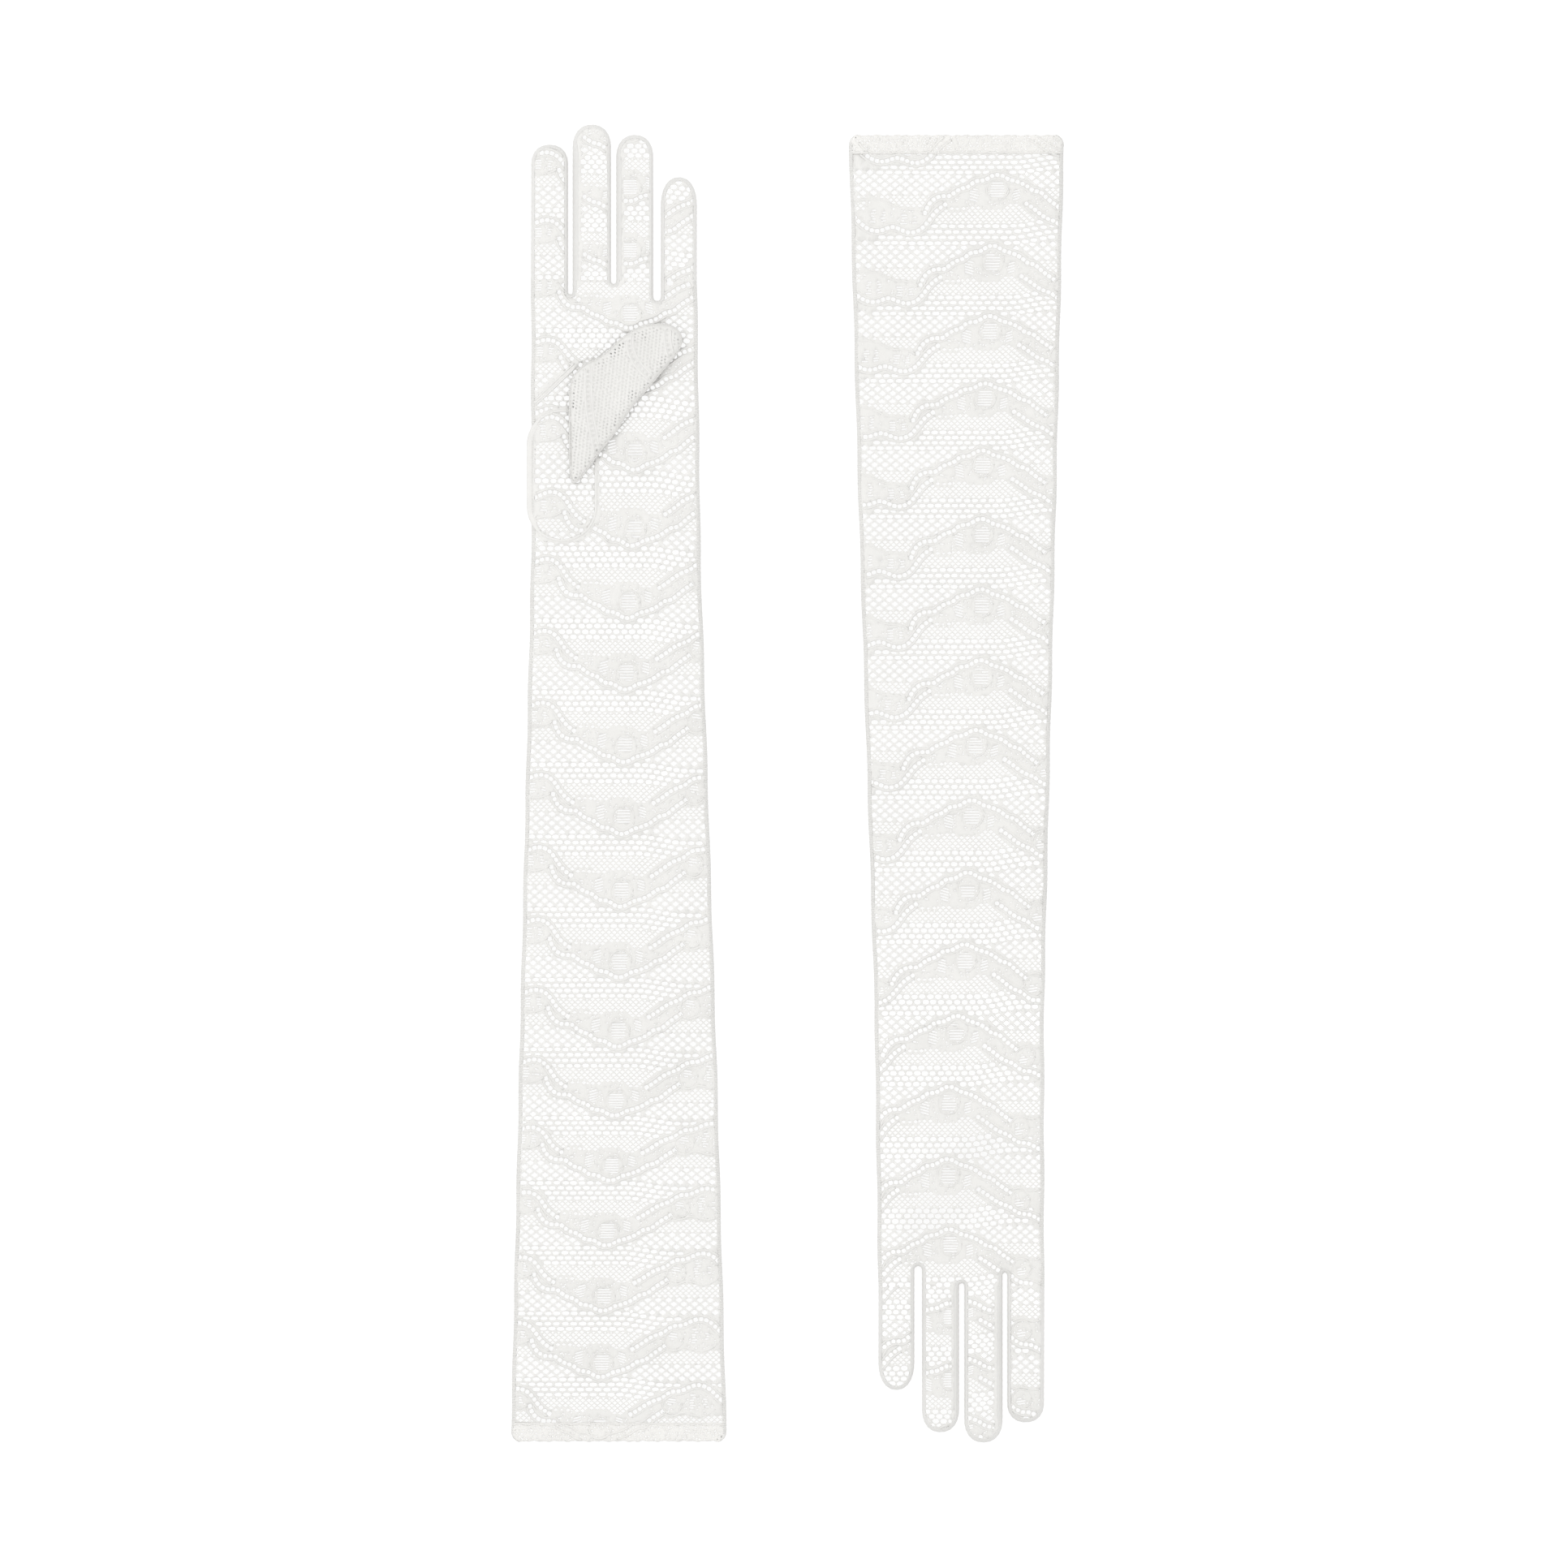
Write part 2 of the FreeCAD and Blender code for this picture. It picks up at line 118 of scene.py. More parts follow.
def cloth_material(name, light, dark, scale, bump, roughness, ribs=None):
    """Off-white yarn: two close tints in patches, a fine grain, and ribs or twist in the relief."""
    material = bpy.data.materials.new(name)
    material.use_nodes = True
    nodes, links = material.node_tree.nodes, material.node_tree.links
    shader = nodes["Principled BSDF"]
    place = nodes.new("ShaderNodeTexCoord")
    patches = nodes.new("ShaderNodeTexNoise")
    patches.inputs["Scale"].default_value = 60
    patches.inputs["Detail"].default_value = 6
    patches.inputs["Roughness"].default_value = 0.7
    tint = nodes.new("ShaderNodeMix")
    tint.data_type = "RGBA"
    tint.inputs["A"].default_value = (*light, 1)
    tint.inputs["B"].default_value = (*dark, 1)
    yarn = nodes.new("ShaderNodeTexNoise")
    yarn.inputs["Scale"].default_value = scale
    yarn.inputs["Detail"].default_value = 3
    relief = nodes.new("ShaderNodeBump")
    relief.inputs["Strength"].default_value = bump
    relief.inputs["Distance"].default_value = 0.0004
    links.new(place.outputs["Object"], patches.inputs["Vector"])
    links.new(place.outputs["Object"], yarn.inputs["Vector"])
    links.new(patches.outputs["Fac"], tint.inputs["Factor"])
    links.new(tint.outputs["Result"], shader.inputs["Base Color"])
    height = yarn.outputs["Fac"]
    if ribs:
        wave = nodes.new("ShaderNodeTexWave")
        wave.bands_direction = ribs[0]
        wave.inputs["Scale"].default_value = ribs[1]
        wave.inputs["Distortion"].default_value = 1.5
        wave.inputs["Detail"].default_value = 2
        both = nodes.new("ShaderNodeMath")
        both.operation = "ADD"
        links.new(place.outputs["Object"], wave.inputs["Vector"])
        links.new(height, both.inputs[0])
        links.new(wave.outputs["Fac"], both.inputs[1])
        height = both.outputs["Value"]
    links.new(height, relief.inputs["Height"])
    links.new(relief.outputs["Normal"], shader.inputs["Normal"])
    shader.inputs["Roughness"].default_value = roughness
    shader.inputs["Sheen Weight"].default_value = 0.25
    shader.inputs["Sheen Roughness"].default_value = 0.5
    shader.inputs["Specular IOR Level"].default_value = 0.3
    return material


def make_materials():
    return {
        "lace": cloth_material("Lace", (0.79, 0.783, 0.766), (0.68, 0.673, 0.656), 2600, 0.5, 0.78),
        "edge_lace": cloth_material(
            "EdgeLace", (0.77, 0.763, 0.745), (0.66, 0.653, 0.635), 2200, 0.7, 0.82, ("Y", 260)
        ),
        "tricot": cloth_material(
            "Tricot", (0.73, 0.724, 0.71), (0.65, 0.644, 0.63), 3000, 0.35, 0.7, ("X", 420)
        ),
        "hem_lace": cloth_material("HemLace", (0.86, 0.85, 0.83), (0.70, 0.69, 0.67), 2000, 0.8, 0.82),
    }


# ---------------------------------------------------------------- the gloves' outline

FINGERS = {  # low edge, high edge, tip, length of the rounding
    "index": (0.0, 17.0, 195.2, 9.0),
    "middle": (19.4, 37.1, 204.6, 10.6),
    "ring": (39.8, 56.9, 199.8, 10.6),
    "little": (60.7, 77.3, 180.0, 13.3),
}
CROTCHES = (125.0, 130.0, 122.0)
SECTIONS = (-412.0, -235.0, 0.0, 133.0)
LOW_EDGE = (-9.5, -5.6, 0.0, 0.0)
HIGH_EDGE = (91.3, 86.6, 79.1, 77.3)
HEM = {"left": -412.0, "right": -407.6}
HEM_DEPTH = 9.2
CORNER = 5.0
ELBOW, WRIST, KNUCKLES = -235.0, 0.0, 133.0
FINGERS_FROM, FINGERS_BEND_TO = 131.5, 143
CLOTH = 0.36  # thickness of the lace
DROOP = 5.9  # how far the right glove's fingers lie below its hand
BENDS = {"elbow": (ELBOW, 14.0), "wrist": (WRIST, 9.0), "knuckle": (KNUCKLES, 9.0)}
THUMB_PIVOT = (14.3, 55.0)
GUSSET = ((14.3, 26.0), (14.3, 55.0), 16.5)
THUMB = [
    (17.6, 73.0), (18.2, 84.6), (21.7, 89.9), (25.5, 93.0), (30.4, 94.8), (35.3, 98.3), (39.9, 102.8),
    (45.6, 107.4), (51.3, 110.4), (58.9, 111.6), (64.6, 111.2), (68.8, 108.9), (70.9, 104.4), (69.2, 99.0),
    (64.6, 93.3), (59.7, 87.6), (55.1, 81.6), (50.5, 77.0), (45.6, 70.5), (38.8, 59.9), (32.3, 51.9),
    (25.5, 42.0), (20.4, 36.4), (18.0, 38.4), (17.7, 50.4),
]


def low_edge(v):
    return np.interp(v, SECTIONS, LOW_EDGE)


def high_edge(v):
    return np.interp(v, SECTIONS, HIGH_EDGE)


def resample(points, step, closed=False):
    points = np.asarray(points, float)
    if closed:
        points = np.vstack([points, points[:1]])
    length = np.concatenate([[0], np.cumsum(np.linalg.norm(np.diff(points[:, :2], axis=0), axis=1))])
    count = max(2, int(round(length[-1] / step)) + 1)
    at = np.linspace(0, length[-1], count)
    made = np.column_stack([np.interp(at, length, points[:, i]) for i in range(points.shape[1])])
    return made[:-1] if closed else made


def rounded(points, rounds=2, closed=False):
    """Cuts the corners of a line, so that listed points make a smooth curve."""
    points = np.asarray(points, float)
    for _ in range(rounds):
        after = np.roll(points, -1, axis=0)
        near, far = points * 0.75 + after * 0.25, points * 0.25 + after * 0.75
        mixed = np.stack([near, far], axis=1).reshape(-1, points.shape[1])
        points = mixed if closed else np.vstack([points[:1], mixed[1:-3], points[-1:]])
    return points


def silhouette(hem):
    """The open line from the hem up the thumb side, round each finger and back down to the hem."""
    def turned_in(v):
        return CORNER - math.sqrt(CORNER**2 - max(CORNER - (v - hem), 0) ** 2)

    near = hem + CORNER * (1 - np.cos(np.linspace(0.2, math.pi / 2, 9)))
    line = [(low_edge(v) + turned_in(v), v) for v in near]
    line += [(low_edge(v) + 0.18 * math.sin(v / 7.3), v) for v in np.arange(near[-1] + 2, 128, 2.0)]
    names = list(FINGERS)
    for number, name in enumerate(names):
        low, high, tip, length = FINGERS[name]
        middle, half = (low + high) / 2, (high - low) / 2
        for angle in np.linspace(0, math.pi, 33):
            across = math.copysign(abs(math.cos(angle)) ** 0.88, math.cos(angle))
            line.append((middle - half * across, tip - length + length * math.sin(angle) ** 0.9))
        if name != names[-1]:
            gap = FINGERS[names[number + 1]][0] - high
            foot = CROTCHES[number]
            for angle in np.linspace(0, math.pi, 9):
                line.append((high + gap / 2 - gap / 2 * math.cos(angle), foot + gap / 2 * (1 - math.sin(angle))))
    line += [(high_edge(v) + 0.18 * math.sin(v / 8.1), v) for v in np.arange(131, near[-1] + 1, -2.0)]
    line += [(high_edge(v) - turned_in(v), v) for v in near[::-1]]
    return resample(line, 1.2)


def beside(line):
    """The unit vector to the left of a line at each of its points."""
    ahead = np.gradient(line, axis=0)
    ahead /= np.maximum(np.hypot(*ahead.T), 1e-6)[:, None]
    return np.column_stack([-ahead[:, 1], ahead[:, 0]])


def distance(points, line):
    """How far each point lies from an open line."""
    start, along = line[:-1], np.diff(line, axis=0)
    squared = (along**2).sum(1)
    found = np.empty(len(points))
    for first in range(0, len(points), 4000):
        some = points[first : first + 4000, None, :] - start[None]
        share = np.clip((some * along).sum(2) / squared, 0, 1)
        found[first : first + 4000] = np.sqrt(((some - share[..., None] * along) ** 2).sum(2).min(1))
    return found


def smoothstep(x, start, end):
    t = np.clip((x - start) / (end - start), 0, 1)
    return t * t * (3 - 2 * t)


class Glove:
    def __init__(self, name):
        self.name = name
        self.turn = 1 if name == "left" else -1
        low, high = (np.array(c) * 1000 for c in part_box(f"{name}_hand_palm_panel"))
        self.origin = (low[0], low[1] - 0.2) if name == "left" else (high[0], high[1] + 0.2)
        self.hem = HEM[name]
        self.edge = silhouette(self.hem)

    def faces_of_tube(self, v):
        """The height of the underside and of the upper side, away from the edges."""
        v = np.asarray(v, float)
        if self.name == "left":
            return np.full(v.shape, 0.04), np.full(v.shape, 6.0)
        droop = DROOP * smoothstep(v, 138, 176)
        under = 0.04 + 6.08 * smoothstep(v, -48, -1) - droop
        upper = np.interp(v, (ELBOW, WRIST), (6.0, 12.05)) - droop
        return under, upper

    def height(self, points, upper, away=None):
        """The outer height of the upper or lower cloth, rounded down to the tube's middle at its edges."""
        away = distance(points, self.edge) if away is None else away
        u, v = points[:, 0], points[:, 1]
        under, over = self.faces_of_tube(v)
        width = 8.5 - 2.5 * smoothstep(v, 105, 132)
        rise = np.sqrt(1 - (1 - np.clip(away / width, 0, 1)) ** 2.3)
        ripple = 0.10 * np.sin(u / 9.0 + v / 23.0) + 0.08 * np.sin(v / 11.0 - u / 17.0)
        half = (over - under) / 2 + (ripple - 0.16) * rise
        return (over + under) / 2 + half * rise * (1 if upper else -1)

    def world(self, points):
        """Glove millimetres to metres on the table."""
        made = np.array(points, float)
        made[:, 0] = self.origin[0] + self.turn * made[:, 0]
        made[:, 1] = self.origin[1] + self.turn * made[:, 1]
        return made * MM


# ---------------------------------------------------------------- the lace pattern

NET, EDGE, BAND, DENSE, TAKEN = range(5)
CELL = 0.125
PITCH = 33.0

# One repeat of the lace, in millimetres from the middle of its flower: x across, y toward the hem.
UPPER_BEADS = [
    [(-66, -8), (-62, -12.4), (-57, -15.8), (-52, -16.4), (-46.5, -13.8), (-42.4, -15.6), (-38.8, -17.0),
     (-35.2, -16.7), (-32.0, -14.7), (-29.8, -11.8), (-27.6, -8.6), (-25.4, -6.2), (-22.4, -4.2)],
    [(15.6, -3.8), (18.6, -5.6), (21.2, -7.6), (23.9, -9.6), (27.0, -11.0), (30.2, -12.0), (32.5, -14.2), (35.4, -15.7),
     (38.2, -15.4), (41.0, -16.6), (44.5, -18.6), (48.5, -18.8), (52.2, -17.0), (55.2, -13.8),
     (58.4, -10.6), (62, -8.0)],
]
LOWER_BEADS = [
    (-31.6, -8.0), (-30.4, -4.4), (-27.8, -1.6), (-24.6, -0.2), (-20.7, -0.7), (-18.6, 1.3), (-15.6, 3.4), (-11.8, 4.2),
    (-9.4, 7.2), (-4.6, 7.3), (-1.0, 10.2), (2.9, 10.2), (6.1, 7.9), (10.6, 6.9), (14.9, 5.0), (18.3, 2.0),
    (21.6, 1.9), (24.2, -0.6), (27.8, -3.4), (30.6, -5.2),
]
FEET = [
    [(-66, -3), (-60, -1.6), (-53, -1.8), (-47, -4.6), (-43, -6.2), (-38.8, -6.2), (-35, -7.0), (-32.6, -8.6)],
    [(30.6, -4.4), (33.4, -3.0), (36.1, -3.0), (39.6, -4.8), (42.6, -4.2), (46, -3.0),
     (49, -2.6), (52.4, -4.2), (55.4, -6.6)],
]
DENSE_SPOTS = [  # x, y, half width, half height, tilt in degrees
    (-38.8, -11.0, 6.6, 4.4, 0), (-53.4, -8.6, 6.4, 5.8, 0), (-24.7, -4.4, 2.8, 1.2, -8),
    (-17.1, -1.9, 3.7, 3.1, 20), (-21.5, -3.4, 2.6, 0.9, 0),
    (-12.6, -3.2, 3.4, 1.0, 0), (-8.2, 0.8, 4.4, 5.2, -22), (-0.2, -2.9, 6.4, 2.8, 0), (1.7, 3.0, 5.2, 5.6, 0),
    (10.2, 0.4, 4.8, 3.5, 20), (16.6, -0.9, 4.6, 1.7, -8), (21.2, -2.6, 4.4, 1.7, -24), (26.4, -5.4, 4.4, 1.7, -24),
    (35.0, -8.8, 4.5, 4.7, 0), (30.6, -8.6, 3.0, 2.4, -20), (47.6, -10.2, 7.2, 6.2, 0), (41.2, -8.6, 3.2, 3.4, 0),
]
OUTLINED = (8, 13)
SLITS = [  # x and y of the first, how many, gap, half length, slope
    (-9.2, -2.2, 5, 1.3, 2.3, -0.28), (1.6, -0.4, 6, 1.3, 3.8, 0.0), (3.4, -3.0, 2, 1.2, 1.4, 0.1),
    (10.6, -1.6, 4, 1.3, 2.0, 0.30), (-41.4, -12.8, 4, 1.25, 1.9, 0.0), (-35.8, -12.4, 3, 1.25, 1.5, 0.1),
    (44.8, -13.6, 6, 1.3, 1.7, 0.0), (50.6, -12.8, 5, 1.3, 1.6, 0.0), (34.6, -11.4, 3, 1.3, 2.4, 0.15),
    (-17.4, -1.8, 2, 1.4, 1.0, -0.2), (-56.0, -12.0, 5, 1.3, 1.8, 0.0), (-50.8, -11.6, 5, 1.3, 1.5, 0.1),
]


def hole_shape(a, b, power, count):
    angles = np.arange(count) * 2 * math.pi / count
    cos, sin = np.cos(angles), np.sin(angles)
    size = (np.abs(cos) ** power + np.abs(sin) ** power) ** (-1 / power)
    return np.column_stack([a * cos * size, b * sin * size])


def turned(shape, angle):
    cos, sin = math.cos(angle), math.sin(angle)
    return shape @ np.array([[cos, sin], [-sin, cos]])


class Pattern:
    """A map of what is where on the flat cloth, and the openings cut in it so far."""

    def __init__(self, low, high):
        self.low = np.array(low, float)
        size = np.ceil((np.array(high) - self.low) / CELL).astype(int) + 1
        self.map = np.full((size[1], size[0]), EDGE, np.uint8)
        self.holes = []
        self.cords = []

    def fill(self, outline, code):
        """Everything inside a closed outline gets this code."""
        start, end = outline, np.roll(outline, -1, axis=0)
        for row in range(self.map.shape[0]):
            v = self.low[1] + row * CELL
            cross = (start[:, 1] <= v) != (end[:, 1] <= v)
            if not cross.any():
                continue
            a, b = start[cross], end[cross]
            at = np.sort(a[:, 0] + (v - a[:, 1]) / (b[:, 1] - a[:, 1]) * (b[:, 0] - a[:, 0]))
            columns = np.round((at - self.low[0]) / CELL).astype(int).clip(0, self.map.shape[1])
            for first, last in zip(columns[::2], columns[1::2]):
                self.map[row, first:last] = code

    def stamp(self, line, radius, code, keep_edge=True):
        """A stroke of this code along a line."""
        line = resample(line, 0.4)
        reach = int(radius / CELL) + 1
        dy, dx = np.mgrid[-reach : reach + 1, -reach : reach + 1]
        inside = dx**2 + dy**2 <= (radius / CELL) ** 2
        base = np.round((line - self.low) / CELL).astype(int)
        columns = (base[:, :1] + dx[inside][None]).ravel()
        rows = (base[:, 1:] + dy[inside][None]).ravel()
        good = (columns >= 0) & (rows >= 0) & (columns < self.map.shape[1]) & (rows < self.map.shape[0])
        rows, columns = rows[good], columns[good]
        if keep_edge:
            free = self.map[rows, columns] != EDGE
            rows, columns = rows[free], columns[free]
        self.map[rows, columns] = code

    def codes(self, points):
        at = np.round((points - self.low) / CELL).astype(int)
        rows = at[..., 1].clip(0, self.map.shape[0] - 1)
        return self.map[rows, at[..., 0].clip(0, self.map.shape[1] - 1)]

    def cut(self, centre, shape, allowed, least=0.4, thread=0.25, plump=True):
        """Opens a hole, drawn in wherever a band, an edge or another hole is in its way."""
        centre = np.asarray(centre, float)
        size = np.hypot(shape[:, 0], shape[:, 1])
        steps = np.arange(0, size.max() + 0.15, CELL)
        rays = centre + (shape / size[:, None])[:, None, :] * steps[None, :, None]
        clear = np.isin(self.codes(rays), allowed) | (steps[None] > size[:, None] + 0.12)
        if not clear[:, 0].all():
            return
        first = np.where(clear.all(1), len(steps), clear.argmin(1))
        limit = np.where(first < len(steps), first * CELL - 0.12, size)
        reach = np.minimum(size, np.maximum(limit, 0.1))
        if (reach**2).sum() < least * (size**2).sum():
            return
        if plump:
            reach = np.minimum(reach, np.minimum(np.roll(reach, 1), np.roll(reach, -1)) * 2.2 + 0.1)
        hole = centre + shape / size[:, None] * reach[:, None]
        self.holes.append(hole)
        low = np.floor((hole.min(0) - thread - self.low) / CELL).astype(int).clip(0)
        high = np.ceil((hole.max(0) + thread - self.low) / CELL).astype(int)
        rows, columns = np.mgrid[low[1] : high[1] + 1, low[0] : high[0] + 1]
        du = columns * CELL + self.low[0] - centre[0]
        dv = rows * CELL + self.low[1] - centre[1]
        angles = np.arctan2(shape[:, 1], shape[:, 0])
        order = np.argsort(angles)
        bound = np.interp(np.arctan2(dv, du), angles[order], reach[order], period=2 * math.pi) + thread
        near = (du**2 + dv**2 < bound**2) & (rows < self.map.shape[0]) & (columns < self.map.shape[1])
        self.map[rows[near], columns[near]] = TAKEN


class Repeat:
    """Where the lace's flower rows fall on one part of a glove."""

    def __init__(self, pattern, rows, centre, side, u_range, v_range):
        self.pattern, self.rows, self.centre, self.side = pattern, sorted(rows), centre, side
        self.u_range, self.v_range = u_range, v_range
        self.within = None

    def spread(self, row, y):
        """The row's own scale along the glove, above or below its flower."""
        rows = self.rows
        if y < 0:
            pitch = rows[row + 1] - rows[row] if row + 1 < len(rows) else rows[row] - rows[row - 1]
        else:
            pitch = rows[row] - rows[row - 1] if row else rows[row + 1] - rows[row]
        return pitch / PITCH

    def place(self, row, x, y):
        v = self.rows[row] - y * self.spread(row, y)
        return np.array([self.centre(v) + self.side * x, v])

    def line(self, row, points):
        return np.array([self.place(row, x, y) for x, y in rounded(points, 2)])

    def holds(self, point):
        if not (self.u_range[0] < point[0] < self.u_range[1] and self.v_range[0] < point[1] < self.v_range[1]):
            return False
        return self.within is None or self.within(point)

    def clipped(self, line, on_cloth=False):
        """The stretches of a line that lie on this part, and for a cord clear of the cloth's edge."""
        runs, run = [], []
        clear = self.pattern.codes(line) != EDGE if on_cloth else np.ones(len(line), bool)
        for point, free in zip(line, clear):
            if free and self.holds(point):
                run.append(point)
            else:
                if len(run) > 2:
                    runs.append(np.array(run))
                run = []
        return runs + ([np.array(run)] if len(run) > 2 else [])

    def stamp(self, line, radius, code):
        for run in self.clipped(resample(line, 0.4)):
            self.pattern.stamp(run, radius, code)

    def cord(self, line, offset=0.0, radius=0.55):
        line = line + beside(line) * offset
        for run in self.clipped(resample(line, 1.1), on_cloth=True):
            if len(run) > 3:
                self.pattern.cords.append((run, radius))

    def dense_spot(self, row, spot):
        x, y, a, b, tilt = spot
        angles = np.linspace(0, 2 * math.pi, 28, endpoint=False)
        ring = turned(np.column_stack([a * np.cos(angles), b * np.sin(angles)]), math.radians(tilt))
        return np.array([self.place(row, x + dx, y + dy) for dx, dy in ring])

    def fill_spot(self, ring):
        middle = ring.mean(0)
        for share in (0.97, 0.72, 0.45, 0.2):
            inner = middle + (ring - middle) * share
            self.stamp(np.vstack([inner, inner[:1]]), 0.75, DENSE)

    def motifs(self, row):
        """The dense leaves, the beaded bands and the cords that edge them."""
        pattern = self.pattern
        rings = [self.dense_spot(row, spot) for spot in DENSE_SPOTS]
        for ring in rings:
            self.fill_spot(ring)
        feet = [self.line(row, points) for points in FEET]
        for line in feet:
            self.stamp(line, 0.9, DENSE)
        bands = [self.line(row, points) for points in (*UPPER_BEADS, LOWER_BEADS)]
        for line in bands:
            self.stamp(line, 2.05, BAND)
        for number, ring in enumerate(rings):
            if number in OUTLINED:
                self.cord(np.vstack([ring, ring[:1]]), radius=0.42)
        for line in feet:
            self.cord(line, 0.0)
        for line in bands:
            for offset in (-1.55, 1.55):
                self.cord(line, offset)
            beads = resample(line, 2.5)
            ahead = np.gradient(beads, axis=0)
            for bead, along in zip(beads, ahead):
                if self.holds(bead):
                    shape = hole_shape(rng.uniform(0.9, 1.08), rng.uniform(0.95, 1.2), rng.uniform(1.7, 3.0), 8)
                    pattern.cut(bead, turned(shape, math.atan2(along[1], along[0])), (BAND,), 0.5)
        for x, y, count, gap, half, slope in SLITS:
            for number in range(count):
                length = half * (1 - 0.35 * abs(number / max(count - 1, 1) - 0.45)) * rng.uniform(0.9, 1.08)
                at = self.place(row, x + rng.uniform(-0.2, 0.2), y + number * gap)
                if self.holds(at):
                    shape = turned(hole_shape(length, 0.33, 4.0, 8), -self.side * math.atan(slope))
                    pattern.cut(at, shape, (DENSE,), 0.3, 0.2, plump=False)

    def sag(self, x):
        """How far the net's rows dip toward the hem on the vine's side."""
        return 3.0 * float(smoothstep(x, 8, 33))

    def hexes(self, row):
        v = self.rows[row]
        pitch = float(np.interp(v, (-412, -250, -80), (4.15, 3.8, 3.68)))
        a, b = pitch * 0.425, float(np.interp(v, (-412, -180, -50, 60), (0.92, 0.98, 1.15, 1.17)))
        for number in range(4):
            y = -21.6 + 2.55 * number
            for step in range(-13, 15):
                x = (step + 0.5 * (number % 2)) * pitch + rng.uniform(-0.16, 0.16)
                if not -68 < x < 64:
                    continue
                at = self.place(row, x, y + self.sag(x) + rng.uniform(-0.1, 0.1))
                if self.holds(at):
                    grown = rng.uniform(0.93, 1.05)
                    self.pattern.cut(at, hole_shape(a * grown, b * grown, 2.3, 8), (NET,), 0.42)

    def fine_net(self, row):
        for number in range(10):
            y = -12.3 + 1.32 * number
            for step in range(-13, 14):
                x = (step + 0.5 * (number % 2)) * 2.72 + rng.uniform(-0.09, 0.09)
                if not (-28 < x < 33) or y > 0.5:
                    continue
                at = self.place(row, x, y + self.sag(x) * 0.9)
                if self.holds(at):
                    self.pattern.cut(at, hole_shape(1.0, 0.79, 1.2, 4), (NET,), 0.5)

    def crosshatch(self, row):
        """Small diamonds that open out to large ones, whose double threads have a slit between them."""
        for start, end, shift in ((-68, -12, 0.0), (11, 64, 3.6)):
            for number in range(16):
                large = number > 4
                y = shift + (-6.0 + 1.3 * number if not large else 1.2 + 2.05 * (number - 5))
                if y > 11.8:
                    break
                pitch = 2.75 if not large else 4.9
                a, b, power = (1.02, 0.80, 1.2) if not large else (1.62, 1.32, 1.12)
                for step in range(int(start / pitch) - 1, int(end / pitch) + 2):
                    x = (step + 0.5 * (number % 2)) * pitch + rng.uniform(-0.12, 0.12)
                    if not start < x < end:
                        continue
                    at = self.place(row, x, y)
                    if self.holds(at):
                        self.pattern.cut(at, hole_shape(a, b, power, 4 if not large else 8), (NET,), 0.4)
                    for lean in (-1, 1) if large else ():
                        gap = self.place(row, x + pitch / 4, y + lean * 1.03)
                        if self.holds(gap):
                            slit = turned(hole_shape(0.80, 0.15, 3.0, 4), lean * self.side * 0.70)
                            self.pattern.cut(gap, slit, (NET,), 0.35, 0.12, plump=False)

    def specks(self, row):
        """Pinholes between the stitches of the dense leaves."""
        v = self.rows[row]
        for _ in range(520):
            at = np.array([self.centre(v) + self.side * rng.uniform(-48, 56), v + rng.uniform(-9, 19)])
            if self.holds(at):
                size = rng.uniform(0.2, 0.34)
                turn = rng.uniform(0, 1)
                self.pattern.cut(at, turned(hole_shape(size * 1.4, size, 2.0, 5), turn), (DENSE,), 0.7, 0.16)

    def weave(self):
        rows = range(len(self.rows))
        reached = [
            row for row in rows
            if self.v_range[0] - 24 < self.rows[row] < self.v_range[1] + 26
        ]
        for step in (self.motifs, self.hexes, self.crosshatch, self.fine_net, self.specks):
            for row in reached:
                step(row)


LEFT_ROWS = [
    -433.0, -402.5, -372.1, -340.9, -310.5, -280.1, -249.7, -216.7, -184.4, -151.0, -116.7, -83.3, -49.1, -16.0,
    18.2, 54.3, 88.5, 118.9, 150.0,
]
RIGHT_ROWS = [
    -441.0, -410.0, -379.1, -344.9, -312.6, -281.4, -249.9, -217.6, -184.5, -151.1, -118.8, -85.7, -51.5, -18.1,
    15.4, 48.4, 82.6, 114.9, 147.0,
]
FINGER_ROWS = {
    "index": [113.9, 143.6, 175.9, 207.0],
    "middle": [117.3, 144.3, 171.3, 199.0],
    "ring": [119.6, 148.5, 178.1, 207.0],
    "little": [94.0, 125.7, 156.9, 188.0],
}
PLAIN_STRIPS = {"middle": 3.2, "ring": 2.8}


def left_centre(v):
    return np.interp(
        v, (-412, -341, -310, -250, -217, -48, 0, 18, 53, 85, 119),
        (30.3, 32.4, 34.2, 38.1, 39.2, 43, 44.6, 47, 47, 45.5, 44.5),
    )


def right_centre(v):
    return np.interp(
        v, (-407, -374, -342, -313, -281, -252, -151, -117, -83, -50, -18, 13, 48, 82, 114),
        (21.5, 23.8, 26.0, 26.8, 29.4, 30.2, 30.8, 33.8, 35.5, 37.4, 38.4, 42.6, 46.3, 46.3, 45.2),
    )


